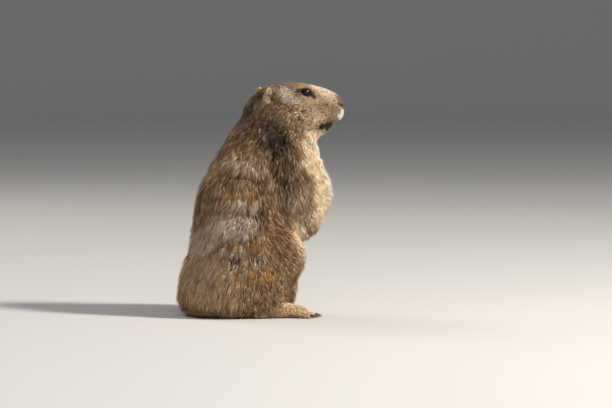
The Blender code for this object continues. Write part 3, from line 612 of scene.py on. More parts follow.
def ball(centre, radii, rows=24, columns=40):
    # A closed ellipsoid.
    lean = math.pi * np.arange(1, rows) / rows
    along = 2 * math.pi * np.arange(columns) / columns
    ring = np.stack([
        np.sin(lean)[:, None] * np.cos(along), np.sin(lean)[:, None] * np.sin(along),
        np.repeat(np.cos(lean)[:, None], columns, 1)], -1).reshape(-1, 3)
    points = np.concatenate([[(0, 0, 1)], ring, [(0, 0, -1)]])
    step = np.arange(columns)
    after = (step + 1) % columns
    last, end = len(points) - 1, len(points) - 1 - columns
    faces = [np.stack([np.zeros(columns, int), 1 + step, 1 + after], 1),
             np.stack([np.full(columns, last), end + after, end + step], 1)]
    for row in range(rows - 2):
        a, b = 1 + row * columns + step, 1 + row * columns + after
        faces += [np.stack([a, a + columns, b + columns], 1), np.stack([a, b + columns, b], 1)]
    return points * np.array(radii) + np.array(centre), np.concatenate(faces)


def joined(shells):
    # Loose shells of (points, faces) as one.
    starts = np.cumsum([0] + [len(points) for points, _ in shells])
    points = np.concatenate([points for points, _ in shells])
    return points, np.concatenate([faces + start for (_, faces), start in zip(shells, starts)])


def treeOf(points, faces):
    return BVHTree.FromPolygons([Vector(point) for point in points], [tuple(face) for face in faces.tolist()])


tailPlaces, tailRadii = smoothLine(tail["line"], tail["radii"], tail["steps"])
tailPlaces = tailPlaces + np.array(floorPoint)


def gatherFlesh():
    # All the flesh as loose closed shells, with the region of each triangle.
    shells = []
    for name in fleshNodes:
        region = next(region for region in regions if name.startswith(region))
        if region != "tail":
            shells.append((*meshArrays(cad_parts[name].data), region))
    shells.append((*tube(tailPlaces, tailRadii, tail["sides"]), "tail"))
    for word in ("left", "right"):
        shells.append((*ball(sum(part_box(f"eye_{word}"), Vector()) / 2, (skinPlan["eyeFill"],) * 3), "head"))
    low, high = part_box("nose")
    shells.append((*ball((low + high) / 2, (high - low) / 2 * skinPlan["noseFill"]), "head"))
    points, faces = joined([shell[:2] for shell in shells])
    owners = np.concatenate([np.full(len(faces), regions.index(region)) for _, faces, region in shells])
    return points, faces, owners


def keepLargest(points, faces):
    # Drops the loose inner shells that the remesh leaves.
    group = np.arange(len(points))
    while True:
        lowest = group[faces].min(1)
        new = group.copy()
        for corner in range(3):
            np.minimum.at(new, faces[:, corner], lowest)
        new = new[new]
        if (new == group).all():
            break
        group = new
    keep = group == np.bincount(group).argmax()
    renumber = np.cumsum(keep) - 1
    return points[keep], renumber[faces[keep[faces[:, 0]]]]


def shapeFace(points, settings, owner):
    place = inHead(points)
    onHead = owner == regions.index("head")
    muzzle = smoothStep(place[:, 0], face["muzzleStart"], face["muzzleEnd"])
    low = 1 - smoothStep(place[:, 2], face["cheekStart"], face["cheekEnd"])
    centres = [np.array(eyeFrame(word)[0]) for word in ("left", "right")]
    gap = np.min([np.linalg.norm(points - centre, axis=1) for centre in centres], axis=0)
    near = 1 - smoothStep(gap, face["eyeNear"], face["eyeFar"])
    made = settings.copy()
    for column, crown in enumerate(face["crown"]):
        value = crown + (face["cheek"][column] - crown) * low
        value = value + (face["muzzle"][column] - value) * muzzle
        value = value + (face["eye"][column] - value) * near
        made[onHead, column] = value[onHead]
    return made


def growSkin():
    # One skin over the flesh, drawn in by the depth of its coat.
    points, faces, owners = gatherFlesh()
    tree = treeOf(points, faces)
    item = placed("flesh", newMesh("flesh", points, faces))
    fuse = item.modifiers.new("fuse", "REMESH")
    fuse.mode = "VOXEL"
    fuse.voxel_size = skinPlan["voxel"]
    points, faces = keepLargest(*meshArrays(baked(item)))
    owner = np.array([owners[tree.find_nearest(Vector(point))[2]] for point in points])
    table = np.array([coat[region] for region in regions])
    settings = shapeFace(points, table[owner], owner)
    soften = spread(settings[:, 5:], faces, skinPlan["softenRounds"]) * skinPlan["softenShare"]
    points = spread(points, faces, skinPlan["smoothing"], soften)
    settings = spread(settings, faces, skinPlan["blendRounds"])
    onHead = (owner == regions.index("head")) | (owner == regions.index("ear"))
    headShare = spread(onHead, faces, skinPlan["blendRounds"])
    lift = foldLift(sidePlan(points, headShare)) * markPlan["foldDepth"]
    points = points - normalsOf(points, faces) * (settings[:, 0] - lift)[:, None]
    return spread(points, faces, skinPlan["lastRounds"]), faces, owner, settings, headShare


# The face's own shapes

eyePlan = {
    "radius": 0.0064, "openLength": 0.0060, "openHeight": 0.0042, "tilt": -14, "outward": (0.02, 1.0, 0.12),
    "moreLength": 0.0012, "moreHeight": 0.0010, "sink": 0.0012, "leastSink": 0.3,
}


def eyeFrame(word):
    # The eye's centre, and its forward, upward and outward directions.
    turn = headTurn.to_3x3()
    x, y, z = eyePlan["outward"]
    outward = (turn @ Vector((x, y if word == "left" else -y, z))).normalized()
    forward = turn @ Vector((1, 0, 0))
    forward = (forward - outward * forward.dot(outward)).normalized()
    upward = forward.cross(outward) if word == "left" else outward.cross(forward)
    upward *= 1 if upward.z > 0 else -1
    lean = math.radians(eyePlan["tilt"])
    leant = forward * math.cos(lean) + upward * math.sin(lean)
    high = upward * math.cos(lean) - forward * math.sin(lean)
    return sum(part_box(f"eye_{word}"), Vector()) / 2, leant, high, outward


def inEye(points, word):
    # Places in an eye's own frame: forward, upward and outward of its centre.
    centre, *axes = eyeFrame(word)
    return ((points - np.array(centre)) @ np.array(axes).T).T


def openLids(points):
    # Sinks the skin behind the eyeball where the lids open.
    moved = points.copy()
    for word in ("left", "right"):
        outward = np.array(eyeFrame(word)[3])
        across, high, out = inEye(points, word)
        length = eyePlan["openLength"] + eyePlan["moreLength"]
        height = eyePlan["openHeight"] + eyePlan["moreHeight"]
        reach = np.hypot(across / length, high / height)
        radius = eyePlan["radius"] - eyePlan["sink"]
        bottom = np.maximum(radius ** 2 - across ** 2 - high ** 2, (radius * eyePlan["leastSink"]) ** 2)
        bottom = np.sqrt(bottom)
        inside = (reach < 1.0) & (out > 0)
        moved[inside] += (np.minimum(bottom - out, 0)[:, None] * outward)[inside]
    return moved


mouth = {
    "corner": (0.0735, -0.0108), "front": (0.0990, -0.0042), "depth": 0.0012, "halfWidth": 0.0009,
    "bow": 0.7, "fade": 0.002, "lipAbove": 0.0028, "lipWidth": 0.0020, "lipShare": 0.35,
}
cleft = {
    "halfWidth": 0.0007, "depth": 0.0010, "bottom": -0.0035, "top": 0.0125, "front": 0.0990, "fade": 0.002,
}


def mouthGroove(place):
    # How far places in the head's frame are in the line of the mouth, on the lips beside it, and in the cleft.
    (startX, startZ), (endX, endZ) = mouth["corner"], mouth["front"]
    share = np.clip((place[:, 0] - startX) / (endX - startX), 0, 1)
    over = place[:, 2] - (startZ + (endZ - startZ) * share ** mouth["bow"])
    near = smoothStep(place[:, 0] - startX, -mouth["fade"], mouth["fade"])
    groove = np.exp(-(over / mouth["halfWidth"]) ** 2) * near
    lips = np.exp(-((over - mouth["lipAbove"]) / mouth["lipWidth"]) ** 2) * near
    ahead = smoothStep(place[:, 0], cleft["front"] - cleft["fade"], cleft["front"])
    split = np.exp(-(place[:, 1] / cleft["halfWidth"]) ** 2) * ahead
    split *= smoothStep(place[:, 2], cleft["bottom"] - cleft["fade"], cleft["bottom"])
    split *= 1 - smoothStep(place[:, 2], cleft["top"], cleft["top"] + cleft["fade"])
    return groove, lips, split


def cutMouth(points, normals):
    groove, lips, split = mouthGroove(inHead(points))
    deep = (groove - lips * mouth["lipShare"]) * mouth["depth"] + split * cleft["depth"]
    return points - normals * deep[:, None]


nosePad = {
    "centre": (0.0925, 0.0, 0.0185), "halfTurn": 84, "halfRise": 31, "midRise": 3, "narrowBelow": 0.30,
    "narrowPower": 1.5, "rise": 0.0009, "riseEdge": (0.70, 1.0), "sink": 0.0014, "sinkEdge": (0.88, 1.05),
    "outside": 1.05, "rings": 30, "sides": 96, "lookFrom": 0.04,
    "nostril": {
        "turn": 55, "rise": -11, "length": 19, "height": 9, "tilt": 24, "depth": 0.0034,
        # The last pair sets how deep in the dent the nostril's painted shade starts and is full.
        "bow": 4, "taper": 0.45, "power": 1.5, "fade": 2.2, "hollowShade": (0.05, 0.30),
    },
    "cleft": {"halfTurn": 5.0, "from": -14, "to": 10, "depth": 0.0009, "hollowShade": 0.6},
}


def padNarrow(rise):
    return 1 - nosePad["narrowBelow"] * np.clip(-rise / nosePad["halfRise"], 0, 1) ** nosePad["narrowPower"]


def padPlace(place):
    # How far out on the nose pad places in the head's frame lie: 0 at its middle and 1 at its edge.
    away = place - np.array(nosePad["centre"])
    turn = np.degrees(np.arctan2(away[:, 1], away[:, 0]))
    rise = np.degrees(np.arctan2(away[:, 2], np.hypot(away[:, 0], away[:, 1]))) - nosePad["midRise"]
    return np.hypot(turn / (nosePad["halfTurn"] * padNarrow(rise)), rise / nosePad["halfRise"])


skinPoints, skinFaces, skinOwner, skinSettings, skinHeadShare = growSkin()
skinPoints = openLids(skinPoints)
skinPoints = cutMouth(skinPoints, normalsOf(skinPoints, skinFaces))
skinNormals = normalsOf(skinPoints, skinFaces)
skinTree = treeOf(skinPoints, skinFaces)
print("skin grown:", len(skinFaces), "triangles")


# Coat and skin finish

furColours = {
    "base": (0.230, 0.130, 0.063, 1), "ochre": (0.480, 0.300, 0.150, 1), "paleTip": (0.850, 0.700, 0.500, 1),
    "tan": (0.600, 0.405, 0.235, 1), "brown": (0.215, 0.130, 0.072, 1), "rufous": (0.275, 0.138, 0.060, 1),
    "orange": (0.620, 0.320, 0.100, 1), "grey": (0.600, 0.455, 0.350, 1), "cream": (0.970, 0.790, 0.535, 1),
    "white": (0.960, 0.880, 0.750, 1), "dark": (0.050, 0.031, 0.020, 1), "black": (0.010, 0.008, 0.007, 1),
}
pigmentSets = ("pigmentsA", "pigmentsB", "pigmentsC")
# Two numbers are where an effect starts and is full, and two more what it goes from and to.
finish = {
    "patchScale": 46.0, "patchDetail": 3.0, "patches": (0.36, 0.62), "paleKeeps": 0.5,
    "paleFleck": (0.62, 0.74), "paleAlong": (0.15, 0.70), "darkLosesPale": 0.85, "paleShare": 0.5,
    "darkFleck": (0.24, 0.38), "darkAlong": (0.1, 0.6, 0.4, 1.0), "darkShare": 0.70,
    "rootShade": (0.0, 0.80, 0.24, 1.18), "grainScale": 900.0, "grainShade": (0.3, 0.7, 0.28, 0.60),
    "bare": (0.016, 0.011, 0.009, 1), "bumpStrength": 0.35, "bumpDistance": 0.0005,
}


def furColour(look, place):
    patches = look.ranged(look.noise(place, finish["patchScale"], finish["patchDetail"]), *finish["patches"])
    colour = look.mix(patches, furColours["base"], furColours["ochre"])
    shares = []
    for name in pigmentSets:
        shares += look.parts(look.attribute(name, "Vector"))
    for name, share in zip(pigments, shares):
        colour = look.mix(share, colour, furColours[name])
    return colour, shares[-2] + shares[-1], shares[-4] * finish["paleKeeps"]


def coatLook():
    look = Look("coat", Roughness=0.68, Specular_IOR_Level=0.28)
    place = look.attribute("rootPlace", "Vector")
    colour, dark, pale = furColour(look, place)
    along, fleck = look.attribute("along"), look.attribute("fleck")
    paleHair = look.ranged(fleck, *finish["paleFleck"]) * look.ranged(along, *finish["paleAlong"])
    paleHair = paleHair * (1 - dark * finish["darkLosesPale"])
    colour = look.mix(paleHair * finish["paleShare"], colour, furColours["paleTip"])
    darkHair = (1 - look.ranged(fleck, *finish["darkFleck"])) * look.ranged(along, *finish["darkAlong"])
    # The tufts darken towards their roots as painted shade down between them, and are paler at the tips. The dark
    # hairs are the hairs' own colour.
    shade = (1 - darkHair * finish["darkShare"] * (1 - pale)) * look.ranged(along, *finish["rootShade"])
    return look.finish(Base_Color=look.scaled(colour, shade))


def skinLook():
    look = Look("skin", Roughness=0.8, Specular_IOR_Level=0.2)
    place = look.attribute("rootPlace", "Vector")
    colour = furColour(look, place)[0]
    grain = look.noise(place, finish["grainScale"])
    # The skin is the coat's colour darkened to between 0.28 and 0.60 in grain: painted shade of the underfur down
    # between the tufts.
    under = look.scaled(colour, look.ranged(grain, *finish["grainShade"]))
    colour = look.mix(look.attribute("bare"), under, finish["bare"])
    bump = look.bump(finish["bumpStrength"], finish["bumpDistance"], grain)
    return look.finish(Base_Color=colour, Normal=bump)


bareSkin = {
    "padEdge": (0.76, 0.96), "padFrom": 0.09, "edge": (0.8, 1.15), "behind": -0.003,
    # The eye and its front and back corners: centre along and up from the eye's, then half sizes.
    "spots": (
        (0.0, 0.0, 0.0082, 0.0056), (0.0094, -0.0010, 0.0046, 0.0012), (-0.0096, 0.0004, 0.0042, 0.0013),
    ),
}


def bareShare(points):
    # Naked dark skin: the lids' edges and corners, the line of the mouth, the cleft and the nose.
    place = inHead(points)
    groove, _, split = mouthGroove(place)
    pad = (1 - smoothStep(padPlace(place), *bareSkin["padEdge"])) * (place[:, 0] > bareSkin["padFrom"])
    bare = np.maximum(np.maximum(groove, split), pad)
    for word in ("left", "right"):
        across, high, out = inEye(points, word)
        for x, y, length, height in bareSkin["spots"]:
            reach = np.hypot((across - x) / length, (high - y) / height)
            spot = (1 - smoothStep(reach, *bareSkin["edge"])) * (out > bareSkin["behind"])
            bare = np.maximum(bare, spot)
    return bare


def unwrapSkin(mesh):
    item = placed("unwrap", mesh)
    bpy.context.view_layer.objects.active = item
    item.select_set(True)
    mesh.uv_layers.new(name="OFBake")
    bpy.ops.object.mode_set(mode="EDIT")
    bpy.ops.mesh.select_all(action="SELECT")
    angle = math.radians(skinPlan["unwrapAngle"])
    bpy.ops.uv.smart_project(angle_limit=angle, island_margin=skinPlan["unwrapMargin"])
    bpy.ops.object.mode_set(mode="OBJECT")
    places = np.empty(len(mesh.loops) * 2, np.float32)
    mesh.uv_layers["OFBake"].data.foreach_get("uv", places)
    bpy.data.objects.remove(item, do_unlink=True)
    return places.reshape(-1, 3, 2).astype(float)


def addPigments(mesh, shares):
    for index, name in enumerate(pigmentSets):
        addAttribute(mesh, name, "FLOAT_VECTOR", shares[:, index * 3:index * 3 + 3])


skinMesh = newMesh("skin", skinPoints, skinFaces)
skinUnwrap = unwrapSkin(skinMesh)
addPigments(skinMesh, pigmentShares(sidePlan(skinPoints, skinHeadShare), skinOwner))
addAttribute(skinMesh, "rootPlace", "FLOAT_VECTOR", skinPoints - np.array(floorPoint))
skinBare = bareShare(skinPoints)
addAttribute(skinMesh, "bare", "FLOAT", skinBare)
newPiece("skin", skinMesh, skinLook(), fleshNodes)
print("skin dressed")


# The lie of the coat: (place, direction) on the right side, mirrored to the left.

lieGuides = (
    ((0.108, -0.005, 0.286), (-1, 0, 0.35)), ((0.090, -0.008, 0.292), (-1, 0, 0.20)),
    ((0.060, -0.006, 0.300), (-1, 0, 0.02)), ((0.030, -0.006, 0.299), (-1, 0, -0.12)),
    ((0.000, -0.006, 0.286), (-0.7, 0, -0.7)), ((0.104, -0.032, 0.268), (-0.8, -0.25, -0.35)),
    ((0.098, -0.030, 0.280), (-1, -0.2, 0.0)), ((0.080, -0.040, 0.268), (-1, -0.1, -0.25)),
    ((0.058, -0.052, 0.272), (-1, 0, -0.10)), ((0.040, -0.056, 0.262), (-1, 0, -0.35)),
    ((0.062, -0.048, 0.250), (-0.75, 0, -0.75)), ((0.040, -0.052, 0.240), (-0.45, 0, -1)),
    ((0.088, -0.025, 0.246), (-0.9, 0, -0.45)), ((0.078, -0.012, 0.236), (-0.9, 0, -0.6)),
    ((0.014, -0.054, 0.270), (-0.8, 0, -0.5)), ((0.010, -0.055, 0.250), (-0.45, 0, -1)),
    ((0.000, -0.050, 0.232), (-0.30, 0, -1)), ((0.045, -0.045, 0.222), (-0.05, 0, -1)),
    ((0.070, -0.004, 0.215), (0.15, 0, -1)), ((0.075, -0.035, 0.205), (0.15, 0.05, -1)),
    ((0.090, -0.004, 0.180), (0.05, 0, -1)), ((0.080, -0.040, 0.165), (0.22, 0.1, -1)),
    ((0.085, -0.010, 0.130), (-0.2, 0, -1)), ((0.060, -0.015, 0.090), (-0.15, 0, -1)),
    ((0.050, -0.015, 0.045), (-0.1, 0, -1)), ((-0.040, -0.010, 0.220), (-0.60, 0, -0.8)),
    ((-0.070, -0.010, 0.165), (-0.35, 0, -1)), ((-0.076, -0.010, 0.120), (-0.15, 0, -1)),
    ((-0.092, -0.010, 0.060), (-0.30, 0, -1)), ((-0.098, -0.010, 0.020), (-0.30, 0, -1)),
    ((-0.020, -0.062, 0.195), (-0.25, 0, -1)), ((0.010, -0.062, 0.190), (-0.05, 0, -1)),
    ((-0.050, -0.055, 0.160), (-0.35, 0, -1)), ((-0.020, -0.067, 0.155), (0.05, 0, -1)),
    ((0.010, -0.070, 0.140), (0.45, 0, -1)), ((-0.060, -0.060, 0.115), (-0.65, 0, -1)),
    ((-0.030, -0.080, 0.110), (-0.25, 0, -1)), ((0.000, -0.088, 0.115), (0.55, 0, -0.8)),
    ((0.025, -0.088, 0.100), (0.9, 0, -0.6)), ((0.045, -0.075, 0.085), (0.8, 0.2, -0.6)),
    ((-0.010, -0.092, 0.080), (0.25, 0, -1)), ((-0.040, -0.086, 0.070), (-0.30, 0, -1)),
    ((-0.070, -0.070, 0.065), (-0.70, 0, -1)), ((-0.060, -0.070, 0.030), (-0.55, 0, -1)),
    ((-0.020, -0.080, 0.030), (-0.10, 0, -1)), ((0.030, -0.060, 0.190), (0.05, 0, -1)),
    ((0.045, -0.072, 0.150), (0.12, 0, -1)), ((0.050, -0.074, 0.120), (0.20, 0, -1)),
    ((0.060, -0.060, 0.105), (0.5, 0.3, -0.8)), ((0.075, -0.040, 0.130), (0.6, 0.4, -0.45)),
    ((0.090, -0.028, 0.150), (0.5, 0.45, -0.6)), ((0.100, -0.015, 0.125), (0.3, 0.55, -0.75)),
    ((0.010, -0.080, 0.060), (0.1, 0, -1)), ((0.005, -0.078, 0.030), (0.1, 0, -1)),
    ((0.020, -0.074, 0.022), (1, -0.1, -0.1)), ((0.045, -0.078, 0.012), (1, -0.15, -0.1)),
    ((-0.010, -0.060, 0.020), (0.2, -0.1, -1)),
)


liePlan = {"atOnce": 20000, "near": 0.004, "power": 1.7}


def lieField(points, normals):
    places, aims = [], []
    for place, aim in lieGuides:
        for side in (1, -1):
            places.append((place[0], place[1] * side, place[2]))
            aims.append((aim[0], aim[1] * side, aim[2]))
    places = np.array(places) + np.array(floorPoint)
    aims = unit(np.array(aims, float))
    lie = np.empty_like(points)
    for start in range(0, len(points), liePlan["atOnce"]):
        part = slice(start, start + liePlan["atOnce"])
        gap = ((points[part, None] - places[None]) ** 2).sum(2)
        weight = 1 / (gap + liePlan["near"] ** 2) ** liePlan["power"]
        lie[part] = (weight / weight.sum(1, keepdims=True)) @ aims
    lie -= normals * (lie * normals).sum(1, keepdims=True)
    return unit(lie)


# Tufts

tufts = {
    "seed": 5, "total": 243000, "mostInPiece": 32500, "muzzleFrom": 0.064,
    "rootSink": 0.0006, "floorClear": 0.0004,
    "bareLimit": 0.6, "underDensity": 0.4, "underBelow": 0.012, "underFacing": -0.8,
    "clumpSize": 5, "clumpReach": 0.0045, "clumpFacing": 0.6, "clumpLift": 0.22,
    "clumpPull": 0.55, "pullRange": (0.35, 1.0), "middlePull": 0.35,
    "lengthRange": (0.70, 1.20), "depthRange": (0.80, 1.20), "widthRange": (0.75, 1.25),
    # How much tufts vary in patches, the patches' size, and their seed.
    "lengthPatches": (0.14, 0.012, 21), "depthPatches": (0.16, 0.009, 22), "swervePatches": (1.1, 0.020, 23),
    "swerve": 0.7, "clumpSwerve": 0.6,
    "guardShare": 0.06, "guardLift": 1.7, "guardWidth": 0.6, "highest": 2.1,
    "shownPart": 0.6, "foldShare": 0.5, "middle": 0.42, "middleRise": 0.34, "crest": 0.45,
    # At what share of a tail tuft's length it is at what share of its height.
    "tailBend": ((0.45, 0.72), (1.0, 1.0)),
    # How much of a tuft's luck and fleck is its own, and how much its clump's.
    "luck": (0.64, 0.36), "fleck": (0.5, 0.5),
}


def scatter(draw):
    # Random roots on the skin, as many in each place as the settings say.
    corners = skinPoints[skinFaces]
    area = np.linalg.norm(np.cross(corners[:, 1] - corners[:, 0], corners[:, 2] - corners[:, 0]), axis=1) / 2
    density = skinSettings[skinFaces, 3].mean(1)
    bare = skinBare[skinFaces].max(1) > tufts["bareLimit"]
    facing = skinNormals[skinFaces, 2].mean(1)
    under = (corners[:, :, 2].max(1) < tufts["underBelow"]) & (facing < tufts["underFacing"])
    wanted = area * density * ~bare * np.where(under, tufts["underDensity"], 1)
    chosen = draw.choice(len(skinFaces), tufts["total"], p=wanted / wanted.sum())
    share = draw.random((len(chosen), 2))
    flip = share.sum(1) > 1
    share[flip] = 1 - share[flip]
    print("tufts that the settings ask for:", int(wanted.sum() * 1e6))
    return chosen, np.stack([1 - share.sum(1), share[:, 0], share[:, 1]], 1)


def blendCorners(values, chosen, weights):
    return np.einsum("ij,ij...->i...", weights, values[skinFaces[chosen]])


def clumpLeads(roots, normals):
    # The tuft that leads each tuft's clump, and whether it is near enough to pull.
    leads = np.arange(0, len(roots), tufts["clumpSize"])
    tree = KDTree(len(leads))
    for lead in leads:
        tree.insert(roots[lead], lead)
    tree.balance()
    nearest = np.array([tree.find(root)[1] for root in roots])
    near = np.linalg.norm(roots - roots[nearest], axis=1) < tufts["clumpReach"]
    return nearest, near & ((normals * normals[nearest]).sum(1) > tufts["clumpFacing"])


def alongTail(roots, length, depth):
    # Carries tufts along the bend of the tail: places at a share of their length, and that far over the skin.
    ahead, across, upward = directions(tailPlaces)
    step = np.linalg.norm(tailPlaces[1] - tailPlaces[0])
    index = np.array([((tailPlaces - root) ** 2).sum(1).argmin() for root in roots])
    away = roots - tailPlaces[index]
    sideways, high = (away * across[index]).sum(1), (away * upward[index]).sum(1)
    out = np.maximum(np.hypot(sideways, high), 1e-6)
    places = []
    for share, rise in tufts["tailBend"]:
        far = index + length * share / step
        reached = np.minimum(far.astype(int), len(tailPlaces) - 1)
        centre = tailPlaces[reached] + ahead[reached] * ((far - reached) * step)[:, None]
        ring = across[reached] * (sideways / out)[:, None] + upward[reached] * (high / out)[:, None]
        places.append(centre + ring * (out + depth * rise)[:, None])
    return places


def overSkin(places, height):
    # The same places, but so far over the skin beneath them.
    found = [skinTree.find_nearest(place)[:2] for place in places.tolist()]
    return np.array([hit for hit, _ in found]) + np.array([out for _, out in found]) * height[:, None]


def inPatches(root, share, size, seed):
    return share * cloud(root, size, seed)


def withClump(draw, leads, own, clump):
    count = len(leads)
    return own * draw.random(count) + clump * draw.random(count)[leads]


def growTufts():
    draw = np.random.default_rng(tufts["seed"])
    chosen, weights = scatter(draw)
    count = len(chosen)
    root = blendCorners(skinPoints, chosen, weights)
    normal = unit(blendCorners(skinNormals, chosen, weights))
    owner = skinOwner[skinFaces[chosen, 0]]
    depth, length, width, _, stray, _ = blendCorners(skinSettings, chosen, weights).T
    leads, pulled = clumpLeads(root, normal)
    length = length * draw.uniform(*tufts["lengthRange"], count)
    length = length * (1 + inPatches(root, *tufts["lengthPatches"]))
    highest = depth * tufts["highest"]
    depth = depth * draw.uniform(*tufts["depthRange"], count) * (1 + inPatches(root, *tufts["depthPatches"]))
    depth = depth * (1 + tufts["clumpLift"] * draw.normal(size=count)[leads])
    guard = draw.random(count) < tufts["guardShare"]  # single long hairs that stand off the rest
    depth = np.minimum(np.where(guard, depth * tufts["guardLift"], depth), highest)
    width = width * draw.uniform(*tufts["widthRange"], count) * np.where(guard, tufts["guardWidth"], 1)
    lie = lieField(root, normal)
    shown = root + lie * (length * tufts["shownPart"])[:, None]  # the part that other tufts leave in view
    plan = sidePlan(shown, blendCorners(skinHeadShare, chosen, weights))
    depth = depth * (1 + tufts["foldShare"] * foldLift(plan))
    across = np.cross(normal, lie)
    swerve = tufts["swerve"] * draw.normal(size=count) + tufts["clumpSwerve"] * draw.normal(size=count)[leads]
    swerve = stray * (swerve + inPatches(root, *tufts["swervePatches"]))
    lie = unit(lie + across * swerve[:, None])
    tip = overSkin(root + lie * length[:, None], depth)
    middle = root + (tip - root) * tufts["middle"] + normal * (depth * tufts["middleRise"])[:, None]
    onTail = owner == regions.index("tail")
    middle[onTail], tip[onTail] = alongTail(root[onTail], length[onTail], depth[onTail])
    pull = tufts["clumpPull"] * draw.uniform(*tufts["pullRange"], count) * pulled
    shift = (tip[leads] - tip) * pull[:, None]
    tip = tip + shift
    middle = middle + shift * tufts["middlePull"]
    start = root - normal * tufts["rootSink"]
    for part in (start, middle, tip):
        part[:, 2] = np.maximum(part[:, 2], tufts["floorClear"] + width * 0.5)
    across = unit(np.cross(normal, tip - start))
    half = across * (width / 2)[:, None]
    crest = unit(np.cross(tip - start, across)) * (width * tufts["crest"])[:, None]
    points = np.stack([start, middle - half, middle + half, middle + crest, tip], 1)
    points[:, :, 2] = np.maximum(points[:, :, 2], tufts["floorClear"] * 0.5)
    luck = withClump(draw, leads, *tufts["luck"])
    shares = pigmentShares(plan, owner)
    spotted = np.clip((shares - luck[:, None]) * markPlan["spots"] + 0.5, 0, 1)
    return {
        "points": points, "root": root, "owner": owner,
        "pigments": spotted * smoothStep(shares, 0, markPlan["edge"]),
        "fleck": withClump(draw, leads, *tufts["fleck"]),
        "unwrap": np.einsum("ij,ijk->ik", weights, skinUnwrap[chosen]),
    }


# A tuft is a bent spindle: its root, three corners round its middle, and its tip.
tuftFaces = np.array([(0, 2, 1), (0, 3, 2), (0, 1, 3), (1, 2, 4), (2, 3, 4), (3, 1, 4)])
tuftAlong = (0, *[tufts["middle"]] * 3, 1)
patchSize = 0.003
tuftPatch = np.array([(0.5, 0), (0, 0.4), (1, 0.4), (0.5, 0.5), (0.5, 1)]) * patchSize - patchSize / 2
# The piece that each region's tufts go to, and a slot name that nothing here reads.
coatPieces = {
    "head": ("Head", "fur_head"), "ear": ("Head", "fur_head"), "neck": ("Neck", "fur_throat"),
    "torso_upper": ("Chest", "fur_body"), "torso_lower": ("Rump", "fur_body"),
    "upper_arm": ("Arm", "fur_body"),
    "forearm": ("Arm", "fur_body"), "forepaw": ("Paw", "paw_skin"), "thigh": ("Leg", "fur_body"),
    "shank": ("Leg", "fur_body"), "hind_foot": ("Paw", "paw_skin"), "tail": ("Tail", "fur_tail"),
}


def coatMesh(name, grown, some):
    count, corners = len(some), len(tuftAlong)
    faces = (tuftFaces[None] + np.arange(count)[:, None, None] * corners).reshape(-1, 3)
    mesh = newMesh(name, grown["points"][some].reshape(-1, 3), faces)
    addPigments(mesh, np.repeat(grown["pigments"][some], corners, 0))
    roots = grown["root"][some] - np.array(floorPoint)
    addAttribute(mesh, "rootPlace", "FLOAT_VECTOR", np.repeat(roots, corners, 0))
    addAttribute(mesh, "along", "FLOAT", np.tile(tuftAlong, count))
    addAttribute(mesh, "fleck", "FLOAT", np.repeat(grown["fleck"][some], corners))
    places = grown["unwrap"][some][:, None] + tuftPatch[None]
    layer = mesh.uv_layers.new(name="OFBake")
    layer.data.foreach_set("uv", places.reshape(-1, 2)[faces.ravel()].astype(np.float32).ravel())
    return mesh


def buildCoat():
    grown = growTufts()
    material = coatLook()
    names = np.array([coatPieces[region][0] for region in regions])[grown["owner"]]
    muzzle = (names == "Head") & (inHead(grown["root"])[:, 0] > tufts["muzzleFrom"])
    names = np.where(muzzle, "Muzzle", names)
    side = np.where(grown["root"][:, 1] > floorPoint.y, "Left", "Right")
    names = np.where(names == "Tail", names, np.char.add(names, side))
    for name in sorted(set(names)):
        chosen = np.flatnonzero(names == name)
        for part, start in enumerate(range(0, len(chosen), tufts["mostInPiece"])):
            some = chosen[start:start + tufts["mostInPiece"]]
            pieceName = "coat" + name + (str(part + 1) if part else "")
            newPiece(pieceName, coatMesh(pieceName, grown, some), material)
            print(" ", pieceName, len(some))


buildCoat()
print("coat grown")


# Eyes, lids, nose and claws

def eyeLook():
    return Look("eye", Base_Color=(0.004, 0.003, 0.0025, 1), Roughness=0.05, Specular_IOR_Level=0.3).material


def leatherLook(name, dark, pale, scale, pits):
    # Fine-grained naked skin; an attribute blackens what lies deep, as painted shade in the nostrils and the
    # nose's cleft.
    look = Look(name, Roughness=0.52, Specular_IOR_Level=0.3)
    place = look.out(look.add("ShaderNodeTexCoord"), 3)
    settings = {"feature": "DISTANCE_TO_EDGE"}
    cells = look.add("ShaderNodeTexVoronoi", settings, {"Vector": place, "Scale": scale})
    grain = look.ranged(look.out(cells), 0.0, 0.3) * pits + look.noise(place, scale * 2.0) * (1 - pits)
    colour = look.mix(grain, dark, pale)
    colour = look.mix(look.attribute("hollowShade"), colour, (0.004, 0.003, 0.003, 1))
    return look.finish(Base_Color=colour, Normal=look.bump(0.5, 0.0003, grain))


lids = {
    "steps": 64, "thickness": 0.0005, "pinch": 0.3, "lookFrom": 0.02, "least": 0.0016,
    "overSkin": 0.0002, "edgeFrom": 0.0035, "edgeSink": 0.0010,
    # How far out from the opening along and across it, and how high over the ball; None lies on the skin.
    "profile": (
        (-0.0001, -0.0001, -0.0005), (0.0002, 0.0001, 0.00030), (0.0009, 0.0004, 0.00055),
        (0.0019, 0.0008, 0.00045), (0.0030, 0.0014, None), (0.0040, 0.0021, None),
    ),
}


def lidRing(word, along, across, height):
    centre, forward, upward, outward = eyeFrame(word)
    ring = []
    for step in range(lids["steps"]):
        turn = 2 * math.pi * step / lids["steps"]
        x = (eyePlan["openLength"] + along) * math.cos(turn)
        y = (eyePlan["openHeight"] + across) * math.sin(turn) * abs(math.sin(turn)) ** lids["pinch"]
        flat = centre + forward * x + upward * y
        if height is None:
            hit = skinTree.ray_cast(flat + outward * lids["lookFrom"], -outward)[0] or flat
            ring.append(hit + outward * (lids["overSkin"] if along < lids["edgeFrom"] else -lids["edgeSink"]))
        else:
            radius = eyePlan["radius"] + height
            ring.append(flat + outward * math.sqrt(max(radius ** 2 - x ** 2 - y ** 2, lids["least"] ** 2)))
    return ring


